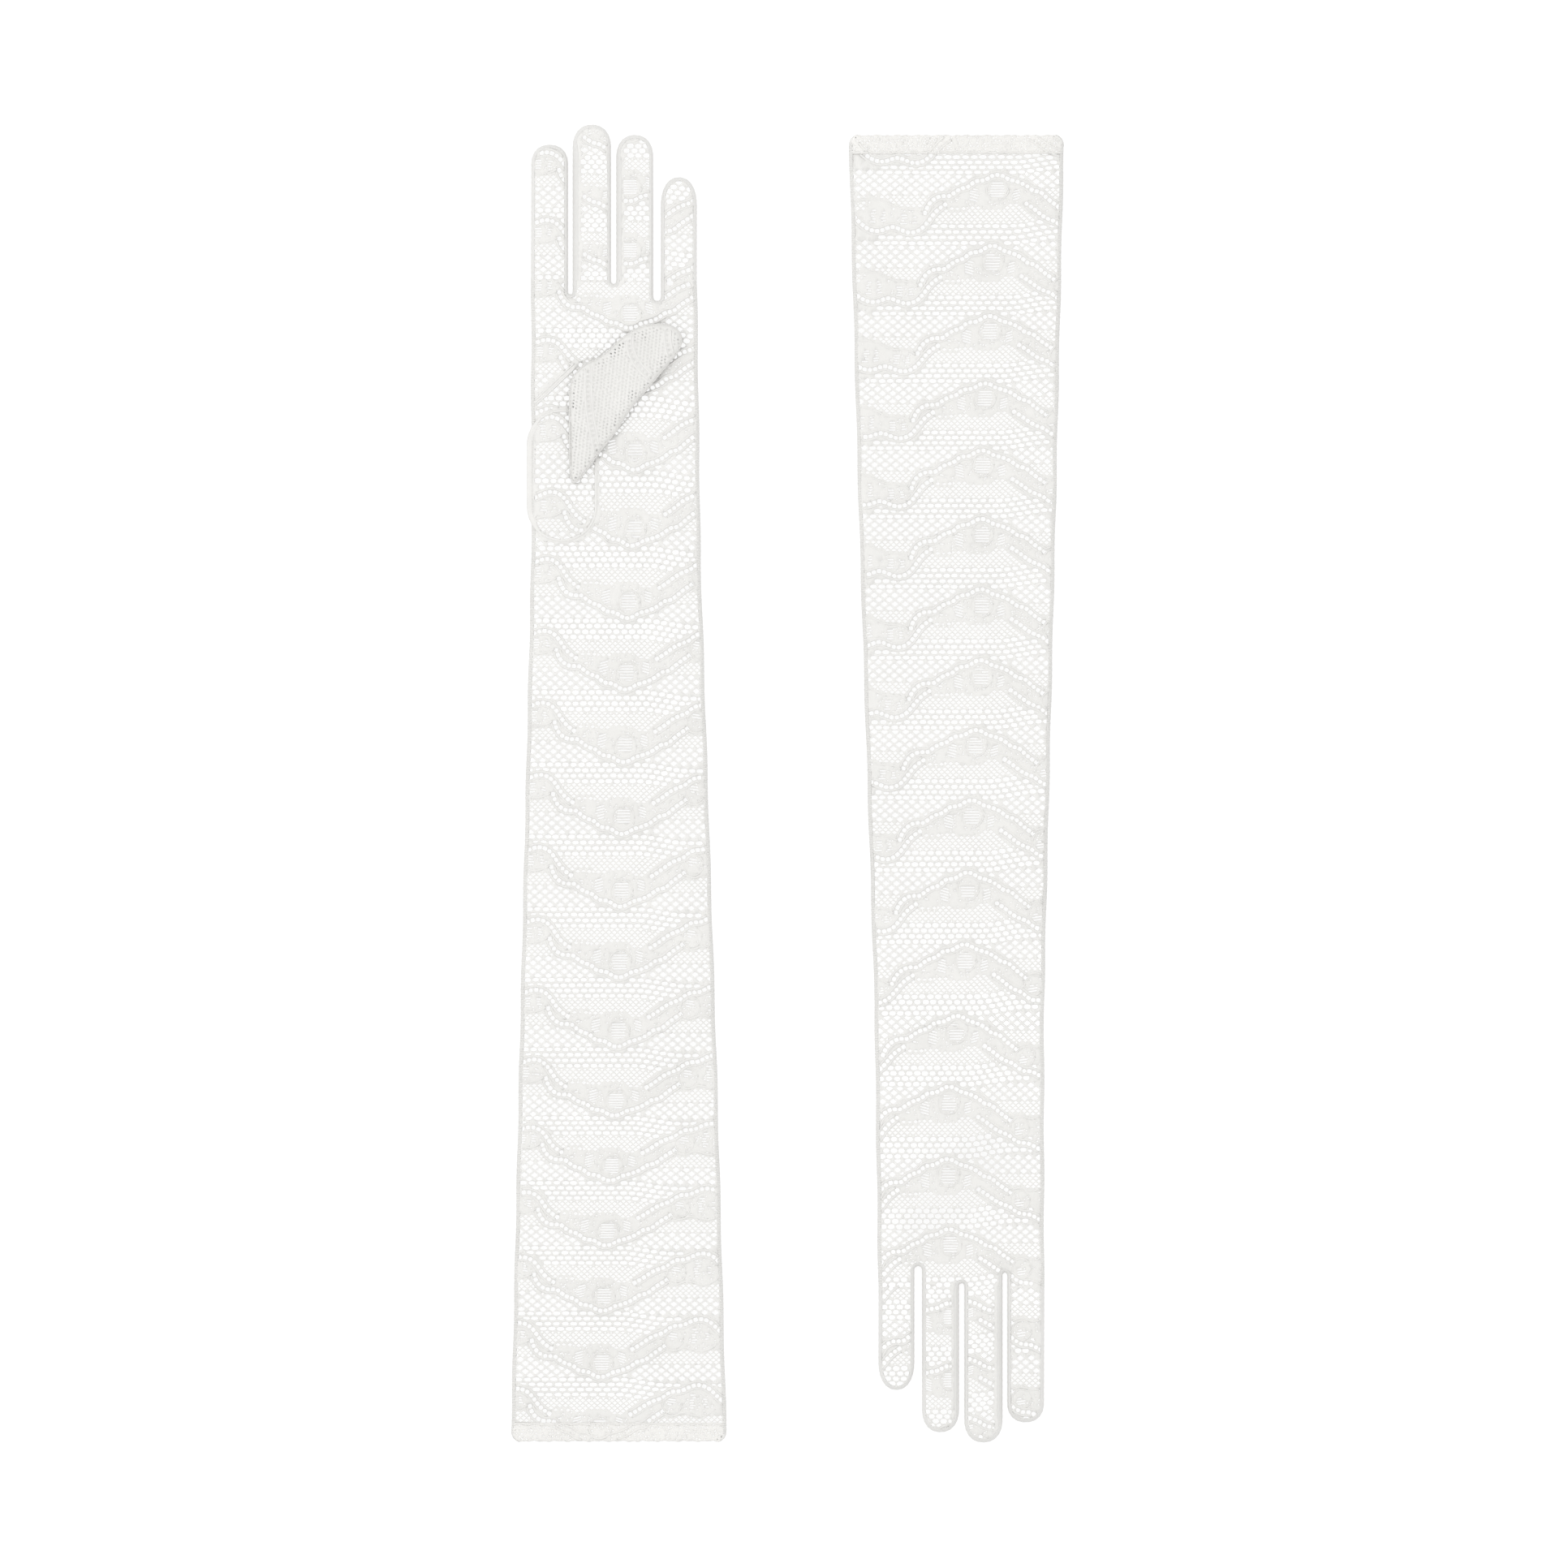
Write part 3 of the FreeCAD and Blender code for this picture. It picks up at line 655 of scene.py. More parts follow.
def hand_pattern(glove):
    """The openings of one glove's palm and back, which lie in register."""
    pattern = Pattern((-14, glove.hem - 2), (97, 208))
    pattern.fill(glove.edge, NET)
    pattern.stamp(glove.edge, 1.45, EDGE, keep_edge=False)
    rows, centre, side = (LEFT_ROWS, left_centre, 1) if glove.name == "left" else (RIGHT_ROWS, right_centre, -1)
    for name, width in PLAIN_STRIPS.items():
        low, _, tip, _ = FINGERS[name]
        pattern.stamp([(low + width / 2, 131), (low + width / 2, tip - 3)], width / 2 + 0.4, EDGE, keep_edge=False)
    whole = (-14, 97), (glove.hem + HEM_DEPTH - 0.5, 131)
    if glove.name == "left":
        pattern.stamp(gusset_ring(), 0.8, EDGE)
        pattern.stamp([(1.5, 74.5), (20.5, 92.5)], 1.3, EDGE)
        pattern.cords += [(np.array(line), 0.5) for line in (
            resample([(1.5, 75.7), (20.0, 93.2)], 1.1), resample([(2.0, 73.6), (20.5, 91.0)], 1.1)
        )]
        set_in = Repeat(pattern, [v - 3.8 for v in rows], centre, side, (-3, 31), (9, 73))
        set_in.within = lambda point: in_gusset(point[None], 0.8)[0]
        set_in.weave()
        around = Repeat(pattern, rows, centre, side, *whole)
        around.within = lambda point: not in_gusset(point[None], -0.3)[0]
        around.weave()
    else:
        Repeat(pattern, rows, centre, side, *whole).weave()
    for name, finger_rows in FINGER_ROWS.items():
        low, high, tip, _ = FINGERS[name]
        Repeat(pattern, finger_rows, centre, side, (low, high), (131, tip)).weave()
    return pattern


def in_gusset(points, inset):
    (u, low_v), (_, high_v), radius = GUSSET
    out = np.hypot(points[:, 0] - u, points[:, 1] - points[:, 1].clip(low_v, high_v))
    return out < radius - inset


def gusset_ring():
    """The gusset's outline, a closed oval."""
    (u, low_v), (_, high_v), radius = GUSSET
    turns = np.linspace(0, math.pi, 40)
    ring = [(u - radius * math.cos(angle), low_v - radius * math.sin(angle)) for angle in turns]
    ring += [(u + radius * math.cos(angle), high_v + radius * math.sin(angle)) for angle in turns]
    return resample(np.array(ring), 0.9, closed=True)


# ---------------------------------------------------------------- cloth from the pattern


def triangulate(outline, holes, loose):
    """Triangles of the cloth inside an outline and outside its holes."""
    points = [Vector(p) for p in outline]
    faces = [list(range(len(outline)))]
    for hole in holes:
        faces.append(list(range(len(points), len(points) + len(hole))))
        points += [Vector(p) for p in hole]
    points += [Vector(p) for p in loose]
    made, _, triangles, _, _, source = delaunay_2d_cdt(points, [], faces, 1, 1e-4, True)
    kept = [face for face, origin in zip(triangles, source) if list(origin) == [0]]
    points = np.array([tuple(p) for p in made])
    return points, np.array(kept, int)


def open_edges(triangles):
    """The directed edges that only one triangle has."""
    edges = np.vstack([triangles[:, (0, 1)], triangles[:, (1, 2)], triangles[:, (2, 0)]])
    size = int(triangles.max()) + 1
    code, back = edges[:, 0] * size + edges[:, 1], edges[:, 1] * size + edges[:, 0]
    return edges[~np.isin(code, back)]


def rim_of(triangles, size):
    """The open edges, each as one number, for thicken."""
    edges = open_edges(triangles)
    return edges[:, 0] * size + edges[:, 1]


def halves(quads):
    """Each four-sided face as two triangles."""
    quads = np.asarray(quads).reshape(-1, 4)
    return np.vstack([quads[:, (0, 1, 2)], quads[:, (0, 2, 3)]])


class Bag:
    """The vertices and faces of one piece, in glove millimetres."""

    def __init__(self):
        self.points, self.faces, self.sharp = [], [], []
        self.count = 0

    def add(self, points, faces, sharp=()):
        self.points.append(np.asarray(points, float))
        self.faces.append(np.asarray(faces, int) + self.count)
        if len(sharp):
            self.sharp.append(np.asarray(sharp, int) + self.count)
        self.count += len(points)

    def build(self, glove, name, material):
        triangles = np.vstack(self.faces)
        points = glove.world(np.vstack(self.points))
        mesh = bpy.data.meshes.new(name)
        mesh.vertices.add(len(points))
        mesh.vertices.foreach_set("co", points.astype(np.float32).ravel())
        mesh.loops.add(triangles.size)
        mesh.loops.foreach_set("vertex_index", triangles.astype(np.int32).ravel())
        mesh.polygons.add(len(triangles))
        mesh.polygons.foreach_set("loop_start", np.arange(0, triangles.size, 3, dtype=np.int32))
        mesh.update(calc_edges=True)
        mesh.validate()
        mesh.polygons.foreach_set("use_smooth", np.ones(len(mesh.polygons), bool))
        if self.sharp:
            wanted = np.sort(np.vstack(self.sharp), axis=1)
            edges = np.zeros(len(mesh.edges) * 2, np.int32)
            mesh.edges.foreach_get("vertices", edges)
            edges = np.sort(edges.reshape(-1, 2), axis=1).astype(np.int64)
            hard = np.isin(edges[:, 0] * self.count + edges[:, 1], wanted[:, 0] * self.count + wanted[:, 1])
            mesh.edges.foreach_set("use_edge_sharp", hard)
        mesh.materials.append(material)
        made = bpy.data.objects.new(name, mesh)
        bpy.context.scene.collection.objects.link(made)
        return made


def thicken(bag, points, triangles, top, bottom, rim):
    """Adds cloth between two heights, closed all round. rim holds the cloth's own edges; others are cuts."""
    used, local = np.unique(triangles, return_inverse=True)
    local = local.reshape(triangles.shape)
    n = len(used)
    flat = points[used]
    walls = open_edges(local)
    size = len(points)
    real = used[walls]
    own = np.isin(real[:, 0] * size + real[:, 1], rim)
    upper, lower = np.column_stack([flat, top[used]]), np.column_stack([flat, bottom[used]])
    sides = np.column_stack([walls[:, 0] + n, walls[:, 1] + n, walls[:, 1], walls[:, 0]])
    faces = np.vstack([local, local[:, ::-1] + n, halves(sides)])
    cut = np.unique(walls[~own])
    sharp = np.vstack([walls[~own], walls[~own] + n, np.column_stack([cut, cut + n])])
    bag.add(np.vstack([upper, lower]), faces, sharp)


def lay_cord(bag, run, radius, base, up, first, last):
    """A half-round cord along a run of points, on a cloth whose outer height is given for each."""
    run, base = run[first : last + 1], base[first : last + 1]
    out = beside(run)
    section = [(-1.0, -0.10), (-0.68, 0.22), (0.0, 0.36), (0.68, 0.22), (1.0, -0.10)]
    rings = []
    for across, rise in section:
        flat = run + out * across * radius
        rings.append(np.column_stack([flat, base + up * rise]))
    n, m = len(run), len(section)
    points = np.stack(rings, axis=1).reshape(-1, 3)
    faces = []
    for i in range(n - 1):
        for j in range(m):
            a, b = i * m + j, i * m + (j + 1) % m
            faces.append((a, b, b + m, a + m) if up > 0 else (b, a, a + m, b + m))
    caps = [[0, 2, 1], [0, 3, 2], [0, 4, 3]]
    end = (n - 1) * m
    ends = caps + [[end + a, end + c, end + b] for a, b, c in caps]
    if up < 0:
        ends = [face[::-1] for face in ends]
    bag.add(points, np.vstack([halves(faces), ends])[:, ::-1])


# ---------------------------------------------------------------- how a glove is divided

SEGMENTS = [
    ("upper_sleeve", -500, ELBOW - 1), ("elbow", ELBOW - 1, ELBOW + 15), ("forearm", ELBOW + 15, WRIST - 1),
    ("wrist", WRIST - 1, WRIST + 10), ("hand", WRIST + 10, FINGERS_FROM),
]


def segment_at(points):
    """The name of the part of the glove that each point is in."""
    u, v = points[:, 0], points[:, 1]
    names = np.full(len(points), "", dtype=object)
    for name, start, end in SEGMENTS:
        names[(v >= start) & (v < end)] = name
    finger = np.select([u < 18.2, u < 38.4, u < 58.8], ["index", "middle", "ring"], "little")
    bend, beyond = (v >= FINGERS_FROM) & (v < FINGERS_BEND_TO), v >= FINGERS_BEND_TO
    names[bend] = [f"{f}_knuckle" for f in finger[bend]]
    names[beyond] = finger[beyond]
    return names


def attach(glove, made, segment):
    """The piece rides on its segment's body; a piece at a bend is left on no body, with its transform baked in."""
    side = glove.name
    body = {"index": "index_finger", "middle": "middle_finger", "ring": "ring_finger", "little": "little_finger"}
    fold = "knuckle" if segment.endswith("_knuckle") else segment
    if fold not in BENDS:
        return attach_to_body(made, f"{side}_{body.get(segment, segment)}")
    place, reach = BENDS[fold]
    start, end = glove.world([(40, place, 6), (40, place + reach, 6)])
    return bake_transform(made)


def cad_nodes(glove, segment, part):
    """The CAD solids that a visual piece stands for."""
    if segment in ("elbow", "wrist") or segment.endswith("_knuckle"):
        return []
    return [f"{glove.name}_{segment}_{part}"]


def make_panels(glove, pattern, materials):
    """The lace of the palm and the back, cut into one piece for each part of the glove."""
    inset = glove.edge - beside(glove.edge) * 0.7
    inset = inset[inset[:, 1] > glove.hem + HEM_DEPTH - 1.0]
    loose = []
    low, high = inset.min(0), inset.max(0)
    for v in np.arange(low[1], high[1], 1.7):
        for u in np.arange(low[0], high[0], 1.9):
            loose.append((u + rng.uniform(-0.4, 0.4), v + rng.uniform(-0.4, 0.4)))
    loose = np.array(loose)
    codes = pattern.codes(loose)
    loose = loose[((codes == BAND) | (codes == DENSE) | (codes == EDGE))]
    loose = loose[distance(loose, glove.edge) > 1.3]
    keep = pattern_inside(loose, inset)
    points, triangles = triangulate(inset[::-1], pattern.holes, loose[keep])
    away = distance(points, glove.edge)
    codes = pattern.codes(points)
    relief = np.where(codes == DENSE, 0.16, 0.0) + rng.uniform(-0.03, 0.03, len(points))
    relief[away < 1.5] = 0
    middle = points[triangles].mean(1)
    segments = segment_at(middle)
    rim = rim_of(triangles, len(points))
    palm_up = glove.name == "left"
    made = {}
    for part, upper in (("palm_panel", palm_up), ("back_panel", not palm_up)):
        outer = glove.height(points, upper, away)
        outer = outer + (relief if upper else -relief * 0.3)
        top, bottom = (outer, outer - CLOTH) if upper else (outer + CLOTH, np.maximum(outer, 0.02))
        names = segments.copy()
        if part == "palm_panel":
            names[in_gusset(middle, 1.2) & (segments == "hand")] = "gusset"
        bags = {}
        rise = 0.3 if upper else -0.3
        for name in sorted(set(names)):
            bags[name] = Bag()
            chosen = triangles[names == name]
            if name == "gusset":
                thicken(bags[name], points, chosen, top + rise, bottom + rise, rim)
            else:
                thicken(bags[name], points, chosen, top, bottom, rim)
        for run, radius in pattern.cords:
            base = glove.height(run, upper)
            owners = segment_at(run)
            if part == "palm_panel":
                owners[in_gusset(run, 1.2) & (owners == "hand")] = "gusset"
            first = 0
            for i in range(1, len(run)):
                if owners[i] != owners[first] or i == len(run) - 1:
                    if owners[first] in bags and i - first >= 1:
                        raised = base + (rise if owners[first] == "gusset" else 0)
                        lay_cord(bags[owners[first]], run, radius, raised, 1 if upper else -1, first, i)
                    first = i
        for name, bag in bags.items():
            if name == "gusset":
                made[name] = bag
                continue
            label = f"{glove.name}_{name}_{part.replace('_panel', '_lace')}"
            piece = bag.build(glove, label, materials["lace"])
            attach(glove, piece, name)
            nodes = cad_nodes(glove, name, part)
            if nodes:
                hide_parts(*nodes)
            declare_sheet(piece)
    return made


def pattern_inside(points, outline):
    """True where a point is inside a closed outline."""
    inside = np.zeros(len(points), bool)
    start, end = outline, np.roll(outline, -1, axis=0)
    for a, b in zip(start, end):
        if a[1] == b[1]:
            continue
        cross = (a[1] <= points[:, 1]) != (b[1] <= points[:, 1])
        at = a[0] + (points[:, 1] - a[1]) / (b[1] - a[1]) * (b[0] - a[0])
        inside ^= cross & (points[:, 0] < at)
    return inside


def surface_area(piece):
    mesh = piece.data
    areas = np.zeros(len(mesh.polygons))
    mesh.polygons.foreach_get("area", areas)
    return areas.sum()


def declare_sheet(piece):
    """Reads a lace panel's numbers off the finished mesh: width and length are its extent, and area is
    half its surface, at most width x length. Nothing further is done with them.
    """
    corners = np.array([v.co for v in piece.data.vertices])
    width, length = (corners.max(0) - corners.min(0))[:2]
    area = min(surface_area(piece) / 2, width * length)


def make_sides(glove, materials):
    """The folded or seamed cloth along the edges, as a strip that wraps round from one face to the other."""
    line = resample(np.column_stack([glove.edge, -beside(glove.edge)]), 0.7)
    edge, inward = line[:, :2], line[:, 2:]
    inward /= np.hypot(*inward.T)[:, None]
    names = segment_at(edge)
    crotch = (edge[:, 1] < FINGERS_FROM) & (edge[:, 1] > 110) & (edge[:, 0] > 8) & (edge[:, 0] < 70)
    parts, keys = {}, []
    for i in range(len(edge)):
        name = names[i]
        if name in FINGERS or name.endswith("_knuckle"):
            keys.append((name, "fourchette"))
        elif crotch[i]:
            keys.append(("hand", "finger_crotch_strips"))
        elif edge[i, 0] < 30:
            keys.append((name, "thumb_side_fold"))
        else:
            keys.append((name, "little_finger_side_seam"))
    runs = []
    first = 0
    for i in range(1, len(edge) + 1):
        if i == len(edge) or keys[i] != keys[first]:
            runs.append((keys[first], first, min(i, len(edge) - 1)))
            first = i
    insets = np.array([1.75, 1.3, 0.85, 0.5, 0.22, 0.05, 0.0])
    for key, first, last in runs:
        if last - first < 2:
            continue
        name, part = key
        bag = parts.setdefault(key, Bag())
        chosen, into = edge[first : last + 1], inward[first : last + 1]
        n = len(chosen)
        at = np.arange(first, last + 1) * 0.7
        seam = part == "little_finger_side_seam"
        stitch = 0.09 * np.sin(at * 2 * math.pi / (2.1 if seam else 2.8)) + 0.03 * np.sin(at * 3.9)
        wide = np.ones(n)
        if part == "fourchette":
            finger = name.split("_")[0]
            width = PLAIN_STRIPS.get(finger, 0)
            low, _, tip, length = FINGERS[finger]
            if width:
                on_low = (chosen[:, 0] < low + 2) & (chosen[:, 1] < tip - length + 3)
                fade = np.clip((tip - length + 3 - chosen[:, 1]) / 6, 0, 1)
                wide = np.where(on_low, 1 + (width / 1.75 - 1) * fade, 1.0)
        rings = []
        for upper in (True, False):
            for depth in insets if upper else insets[-2::-1]:
                reach = depth * wide
                flat = chosen + into * (reach - 0.12 - (0.6 * stitch if depth < 0.6 else 0))[:, None]
                z = glove.height(chosen + into * reach[:, None], upper, reach)
                lift = (0.08 + stitch * (depth < 1.6)) * (1 if upper else -1) * min(depth * 1.4, 1)
                if depth == insets[0]:
                    lift = -0.14 if upper else 0.14
                rings.append(np.column_stack([flat, np.maximum(z + lift, 0.015)]))
        outer = np.stack(rings, axis=1)
        m = outer.shape[1]
        centre = np.column_stack([chosen + into * 2.2, sum(glove.faces_of_tube(chosen[:, 1])) / 2])
        toward = centre[:, None, :] - outer
        toward /= np.linalg.norm(toward, axis=2)[..., None]
        inner = (outer + toward * 0.34)[:, ::-1]
        ring = np.concatenate([outer, inner], axis=1)
        k = ring.shape[1]
        index = np.arange(n * k).reshape(n, k)
        a, b = index[:-1], np.roll(index, -1, axis=1)[:-1]
        c, d = np.roll(index, -1, axis=1)[1:], index[1:]
        faces = halves(np.stack([a, b, c, d], axis=2))
        ends = []
        for base, order in ((0, 1), ((n - 1) * k, -1)):
            for j in range(m - 1):
                quad = (base + j, base + k - 1 - j, base + k - 2 - j, base + j + 1)
                ends += [(quad[0], quad[1], quad[2])[::order], (quad[0], quad[2], quad[3])[::order]]
        sharp = [(base + j, base + (j + 1) % k) for base in (0, (n - 1) * k) for j in range(k)]
        bag.add(ring.reshape(-1, 3), np.vstack([faces, ends])[:, ::-1], sharp)
    for (name, part), bag in parts.items():
        kind = "tricot" if part in ("fourchette", "finger_crotch_strips") else "edge_lace"
        label = f"{glove.name}_{name}_{part}_strip"
        piece = bag.build(glove, label, materials[kind])
        attach(glove, piece, name)
        nodes = cad_nodes(glove, name, part)
        if part == "finger_crotch_strips":
            nodes = [f"{glove.name}_finger_crotch_strips"]
            piece.name = nodes[0] + "_tricot"
        if nodes:
            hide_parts(*nodes)


def make_hem(glove, materials):
    """The doubled end of the sleeve: dense turned-back lace with pinholes, and a wavy lower edge."""
    hem, depth, corner = glove.hem, HEM_DEPTH, CORNER
    low, high = float(low_edge(hem)), float(high_edge(hem))
    lower = []
    for u in np.arange(low, high + 0.01, 0.8):
        side = min(u - low, high - u)
        rise = corner - math.sqrt(max(corner**2 - max(corner - side, 0) ** 2, 0))
        wave = 0.22 * math.sin(u * 1.35) + 0.16 * math.sin(u * 0.61 + 1) + rng.uniform(-0.1, 0.1)
        lower.append((u, hem + max(rise, 0) + 0.35 + max(wave, -0.3)))
    upper_line = [(u, hem + depth) for u in np.arange(high_edge(hem + depth), low_edge(hem + depth), -1.0)]
    left_side = [(low_edge(v), v) for v in np.arange(hem + depth, hem + corner, -0.9)]
    right_side = [(high_edge(v), v) for v in np.arange(hem + corner + 0.5, hem + depth, 0.9)]
    outline = resample(np.array(lower + right_side + upper_line + left_side), 0.8, closed=True)
    pattern = Pattern((-14, hem - 2), (97, hem + 14))
    pattern.fill(outline, DENSE)
    pattern.stamp(np.vstack([outline, outline[:1]]), 0.7, EDGE, keep_edge=False)
    for number, v in enumerate(np.arange(hem + 1.4, hem + depth - 0.6, 1.35)):
        for u in np.arange(low + 1, high, 1.9):
            size = rng.uniform(0.18, 0.44)
            at = (u + 0.95 * (number % 2) + rng.uniform(-0.45, 0.45), v + rng.uniform(-0.25, 0.25))
            if rng.uniform() < 0.8:
                pattern.cut(at, turned(hole_shape(size * 1.3, size * 0.8, 2.0, 6), rng.uniform(0, 3)), (DENSE,), 0.6)
    rows, centre, side = (LEFT_ROWS, left_centre, 1) if glove.name == "left" else (RIGHT_ROWS, right_centre, -1)
    trace = Repeat(pattern, rows, centre, side, (low + 1, high - 1), (hem + 1.2, hem + depth - 0.4))
    for row in range(3):
        for points in (*UPPER_BEADS, LOWER_BEADS):
            for offset in (-1.55, 1.55):
                trace.cord(trace.line(row, points), offset, 0.5)
        for number in OUTLINED:
            ring = trace.dense_spot(row, DENSE_SPOTS[number])
            trace.cord(np.vstack([ring, ring[:1]]), radius=0.42)
    turned_back = [
        (u, hem + depth - 0.75 + 0.3 * math.sin(u * 0.9) + 0.15 * math.sin(u * 2.3))
        for u in np.arange(low + 1, high - 0.6, 0.7)
    ]
    pattern.cords.append((np.array(turned_back), 0.4))
    loose = np.array([
        (u + rng.uniform(-0.3, 0.3), v + rng.uniform(-0.3, 0.3))
        for u in np.arange(low + 1, high - 1, 1.3) for v in np.arange(hem + 1.5, hem + depth - 0.5, 1.2)
    ])
    loose = loose[pattern.codes(loose) != TAKEN]
    loose = loose[pattern_inside(loose, outline)]
    points, triangles = triangulate(outline, pattern.holes, loose)
    away = np.minimum(points[:, 0] - low_edge(points[:, 1]), high_edge(points[:, 1]) - points[:, 0]).clip(0)
    rim = rim_of(triangles, len(points))
    bag = Bag()
    rough = rng.uniform(-0.1, 0.1, len(points))
    for upper in (True, False):
        outer = glove.height(points, upper, away) + (0.16 if upper else 0.0) + rough * (0.9 if upper else 0)
        rolled = 0.9 * np.exp(-((points[:, 1] - hem) / 1.2) ** 2)
        if upper:
            top, bottom = outer, outer - 0.75
            top = top - rolled * 0.35
        else:
            bottom, top = np.maximum(outer, 0.02), np.maximum(outer, 0.02) + 0.75
        near = away < 0.6
        middle = sum(glove.faces_of_tube(points[:, 1])) / 2
        if upper:
            bottom = np.where(near, middle, np.maximum(bottom, middle))
            top = np.maximum(top, bottom + 0.05)
        else:
            top = np.where(near, middle, np.minimum(top, middle))
            bottom = np.minimum(bottom, top - 0.05)
        thicken(bag, points, triangles, top, bottom, rim)
        for run, radius in pattern.cords:
            base = glove.height(run, upper, np.minimum(run[:, 0] - low, high - run[:, 0]).clip(0))
            lay_cord(bag, run, radius, base + (0.16 if upper else 0), 1 if upper else -1, 0, len(run) - 1)
    piece = bag.build(glove, f"{glove.name}_hem_band_lace", materials["hem_lace"])
    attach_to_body(piece, f"{glove.name}_upper_sleeve")
    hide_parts(f"{glove.name}_hem_band")


def make_gusset(glove, bag, materials):
    """The lace oval at the thumb's root. On the left palm it has a smooth rolled rim, wide where it bulges out."""
    if glove.name == "left":
        ring = gusset_ring()
        ahead = np.roll(ring, -1, axis=0) - np.roll(ring, 1, axis=0)
        ahead /= np.hypot(*ahead.T)[:, None]
        into = np.column_stack([-ahead[:, 1], ahead[:, 0]])
        into *= np.sign((into * ([GUSSET[0][0], 40.0] - ring)).sum(1))[:, None]
        width = (1.3 + 2.3 * (1 - smoothstep(ring[:, 0], -2.0, 3.5)))[:, None]
        base = glove.height(ring + into * 2.5, True) - 0.35 * (1 - smoothstep(ring[:, 0], -2.5, 0.5))
        section = [
            (0.0, -0.35), (0.04, 0.1), (0.25, 0.34), (0.6, 0.42), (0.92, 0.26), (1.0, 0.0), (0.95, -0.3), (0.3, -0.5),
        ]
        rings = [np.column_stack([ring + into * across * width, base + height]) for across, height in section]
        grid = np.stack(rings, axis=1)
        index = np.arange(grid.shape[0] * grid.shape[1]).reshape(grid.shape[:2])
        a, b = index, np.roll(index, -1, axis=1)
        c, d = np.roll(b, -1, axis=0), np.roll(index, -1, axis=0)
        bag.add(grid.reshape(-1, 3), halves(np.stack([a, b, c, d], axis=2)))
    piece = bag.build(glove, f"{glove.name}_thumb_gusset_lace", materials["lace"])
    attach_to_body(piece, f"{glove.name}_hand")
    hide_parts(f"{glove.name}_thumb_gusset")


THUMB_BANDS = [
    [(26.4, 96.0), (26.6, 84.0), (26.8, 73.0), (28.6, 62.0), (31.0, 50.0)],
    [(46.6, 110.0), (45.6, 101.7), (47.4, 96.0), (51.5, 90.0), (57.5, 85.0)],
    [(64.0, 113.0), (63.2, 104.0), (65.2, 96.0), (68.0, 93.5)],
]


def thumb_dome(away):
    """How far the stall has risen, from 0 at its seam to 1."""
    return np.sqrt(1 - (1 - np.clip(away / 6.5, 0, 1)) ** 2.2)


def from_root(points):
    """0 at the thumb's root, 1 well away from it."""
    return smoothstep(np.hypot(points[:, 0] - 18, points[:, 1] - 55), 2, 26)


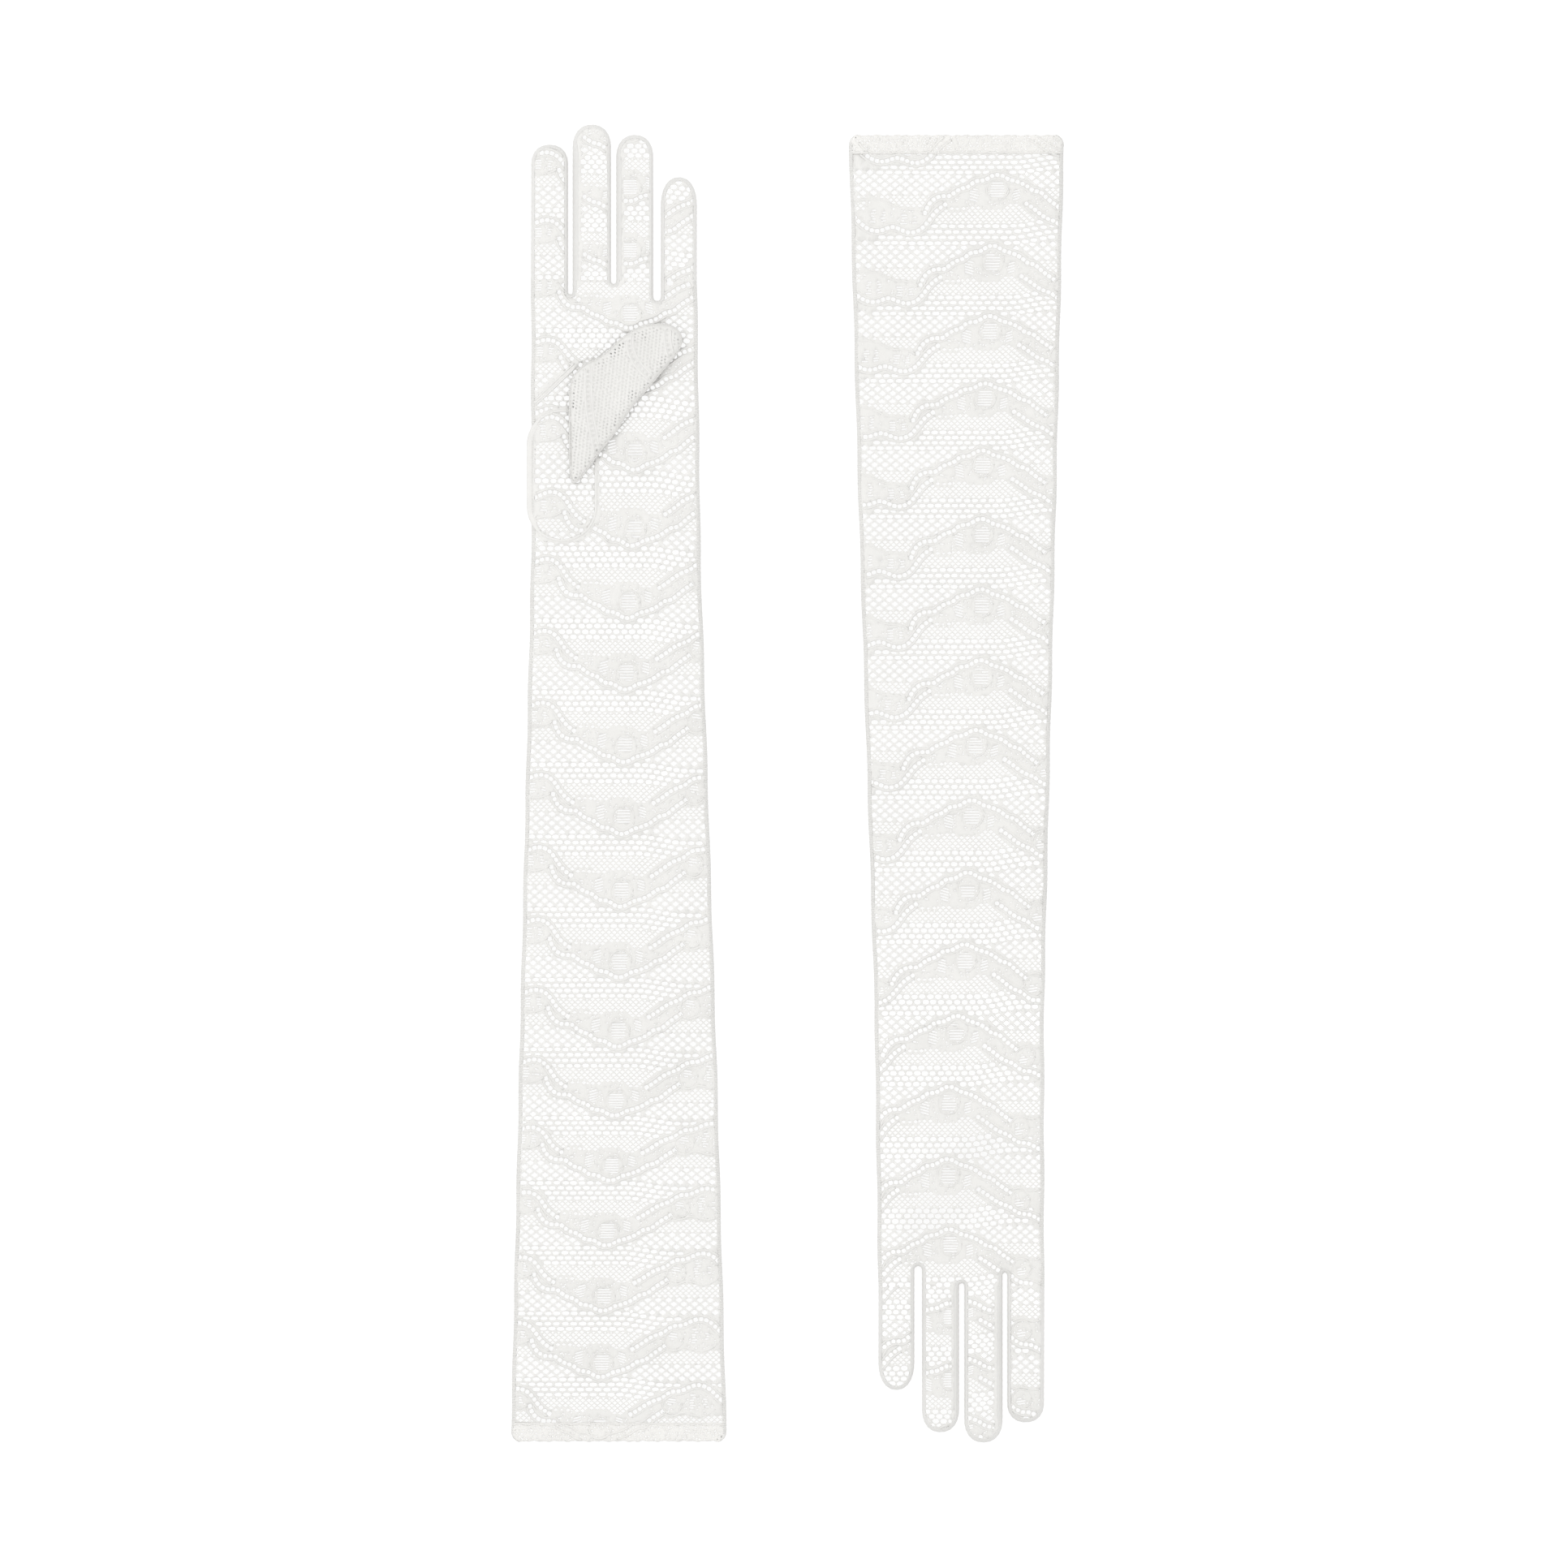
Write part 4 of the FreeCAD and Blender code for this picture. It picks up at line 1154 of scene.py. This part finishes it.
def make_thumb(glove, hand, materials):
    """The thumb's stall: an outer and an inner face of dense lace and the seam round them."""
    outline = resample(rounded(THUMB, 2, closed=True), 1.0, closed=True)
    if ((outline - np.roll(outline, -1, axis=0))[:, 0] * outline[:, 1]).sum() < 0:
        outline = outline[::-1]
    pattern = Pattern((10, 28), (80, 120))
    pattern.fill(outline, DENSE)
    closed = np.vstack([outline, outline[:1]])
    pattern.stamp(closed, 1.5 if glove.name == "left" else 0.8, EDGE, keep_edge=False)
    if glove.name == "left":
        whole = Repeat(pattern, LEFT_ROWS, left_centre, 1, (10, 80), (28, 120))
        for band in THUMB_BANDS:
            line = rounded(band, 3)
            pattern.stamp(line, 2.0, BAND)
            for offset in (-1.5, 1.5):
                whole.cord(line, offset, 0.6)
            beads = resample(line, 2.3)
            for bead in beads:
                if pattern_inside(bead[None], outline)[0]:
                    pattern.cut(bead, hole_shape(0.42, 0.7, 2.0, 6), (BAND,), 0.6)
        for number in range(46):
            for step in range(62):
                u = 12 + 1.68 * number + 0.16 * step
                v = 26 + 1.52 * step + 0.76 * (number % 2) - 0.22 * number
                at = (u - 6 + rng.uniform(-0.2, 0.2), v + rng.uniform(-0.15, 0.15))
                slim = 0.75 if at[0] > 64 else 1.0
                shape = turned(hole_shape(0.45, 0.27, 2.0, 6), -0.7) * slim * rng.uniform(0.8, 1.1)
                pattern.cut(at, shape, (DENSE,), 0.5)
    else:
        pattern.holes = [hole for hole in hand.holes if pattern_inside(hole, outline).any()]
    loose = np.array([
        (u + rng.uniform(-0.3, 0.3), v + rng.uniform(-0.3, 0.3))
        for u in np.arange(14, 76, 1.8) for v in np.arange(30, 116, 1.7)
    ])
    source = pattern if glove.name == "left" else hand
    loose = loose[source.codes(loose) != TAKEN]
    loose = loose[pattern_inside(loose, outline)]
    loose = loose[distance(loose, closed) > 0.8]
    if glove.name == "right":
        loose = loose[hand.codes(loose) != NET]
    points, triangles = triangulate(outline, pattern.holes, loose)
    away = distance(points, closed)
    rim = rim_of(triangles, len(points))
    middle, swell, sink = (8.3, 3.6, 1.1) if glove.name == "left" else (2.66, 2.5, 2.5)
    rise = thumb_dome(away)
    root = from_root(points)
    for part, sign in (("thumb_outer_panel", 1), ("thumb_inner_panel", -1)):
        up = sign if glove.name == "left" else -sign
        outer = middle + (swell if up > 0 else -sink) * rise
        if glove.name == "left":
            outer = outer - (2.3 if up > 0 else 0.2) * (1 - root)
            outer = np.maximum(outer, 6.5)
        top, bottom = (outer, outer - CLOTH) if up > 0 else (outer + CLOTH, outer)
        bag = Bag()
        chosen = triangles
        if part == "thumb_inner_panel":
            centre = points[triangles].mean(1)
            chosen = triangles[np.hypot(centre[:, 0] - THUMB_PIVOT[0], centre[:, 1] - THUMB_PIVOT[1]) > 11.0]
        thicken(bag, points, chosen, top, bottom, rim)
        if up > 0 and glove.name == "left":
            # A plain second layer in the same piece, a stand-in for doubled lace.
            ply, under = triangulate(outline, [], loose)
            reach = distance(ply, closed)
            depth = 0.07 * smoothstep(reach, 0, 1.5)
            high = middle + swell * thumb_dome(reach) - 2.3 * (1 - from_root(ply))
            high = np.maximum(high, 6.5) - 0.14 - depth
            thicken(bag, ply, under, high, high - 0.2, rim_of(under, len(ply)))
        if up > 0:
            for run, radius in pattern.cords:
                inside = pattern_inside(run, outline) & (distance(run, closed) > 0.8)
                if inside.sum() < 4:
                    continue
                run = run[inside]
                base = middle + swell * thumb_dome(distance(run, closed))
                lay_cord(bag, run, radius, base - 2.3 * (1 - from_root(run)), 1, 0, len(run) - 1)
        piece = bag.build(glove, f"{glove.name}_{part.replace('_panel', '_lace')}", materials["lace"])
        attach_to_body(piece, f"{glove.name}_thumb")
        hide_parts(f"{glove.name}_{part}")
        declare_sheet(piece)
    bag = Bag()
    line = resample(outline, 0.7, closed=True)
    if glove.name == "left":
        runs = [np.arange(-1, len(line) + 2) % len(line)]
    else:
        over_hole = hand.codes(line) == TAKEN
        cuts = np.flatnonzero(np.diff(over_hole.astype(int))) + 1
        runs = [run for run in np.split(np.arange(len(line)), cuts) if len(run) > 1 and not over_hole[run[0]]]
    stout = 0.55 if glove.name == "left" else 0.3
    for run in runs:
        at = line[run]
        outward = -beside(at)
        low = 1 - from_root(at)
        centre_z = middle - (1.2 * low if glove.name == "left" else 0)
        wobble = 1 + 0.12 * np.sin(run * 0.7 * 2 * math.pi / 2.4)
        rings = []
        for angle in np.arange(8) * math.pi / 4:
            flat = at + outward * (stout * math.cos(angle) * wobble - 0.3)[:, None]
            rings.append(np.column_stack([flat, centre_z + 1.6 * stout * math.sin(angle) * wobble]))
        grid = np.stack(rings, axis=1)
        if glove.name == "left":
            grid = grid[1:-2]
        n, m = grid.shape[:2]
        index = np.arange(n * m).reshape(n, m)
        a, b = index, np.roll(index, -1, axis=1)
        c, d = np.roll(b, -1, axis=0), np.roll(index, -1, axis=0)
        quads = np.stack([a, b, c, d], axis=2)
        caps = []
        if glove.name == "right":
            quads = quads[:-1]
            for base, order in ((0, 1), ((n - 1) * m, -1)):
                caps += [(base, base + j, base + j + 1)[::order] for j in range(1, m - 1)]
        faces = np.vstack([halves(quads)] + ([caps] if caps else []))
        bag.add(grid.reshape(-1, 3), faces[:, ::-1])
    piece = bag.build(glove, f"{glove.name}_thumb_side_seam_lace", materials["edge_lace"])
    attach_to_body(piece, f"{glove.name}_thumb")
    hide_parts(f"{glove.name}_thumb_side_seam")


# ---------------------------------------------------------------- the scene

make_camera()
make_studio()
materials = make_materials()
for name in ("left", "right"):
    glove = Glove(name)
    pattern = hand_pattern(glove)
    extra = make_panels(glove, pattern, materials)
    make_sides(glove, materials)
    make_hem(glove, materials)
    make_gusset(glove, extra["gusset"], materials)
    make_thumb(glove, pattern, materials)
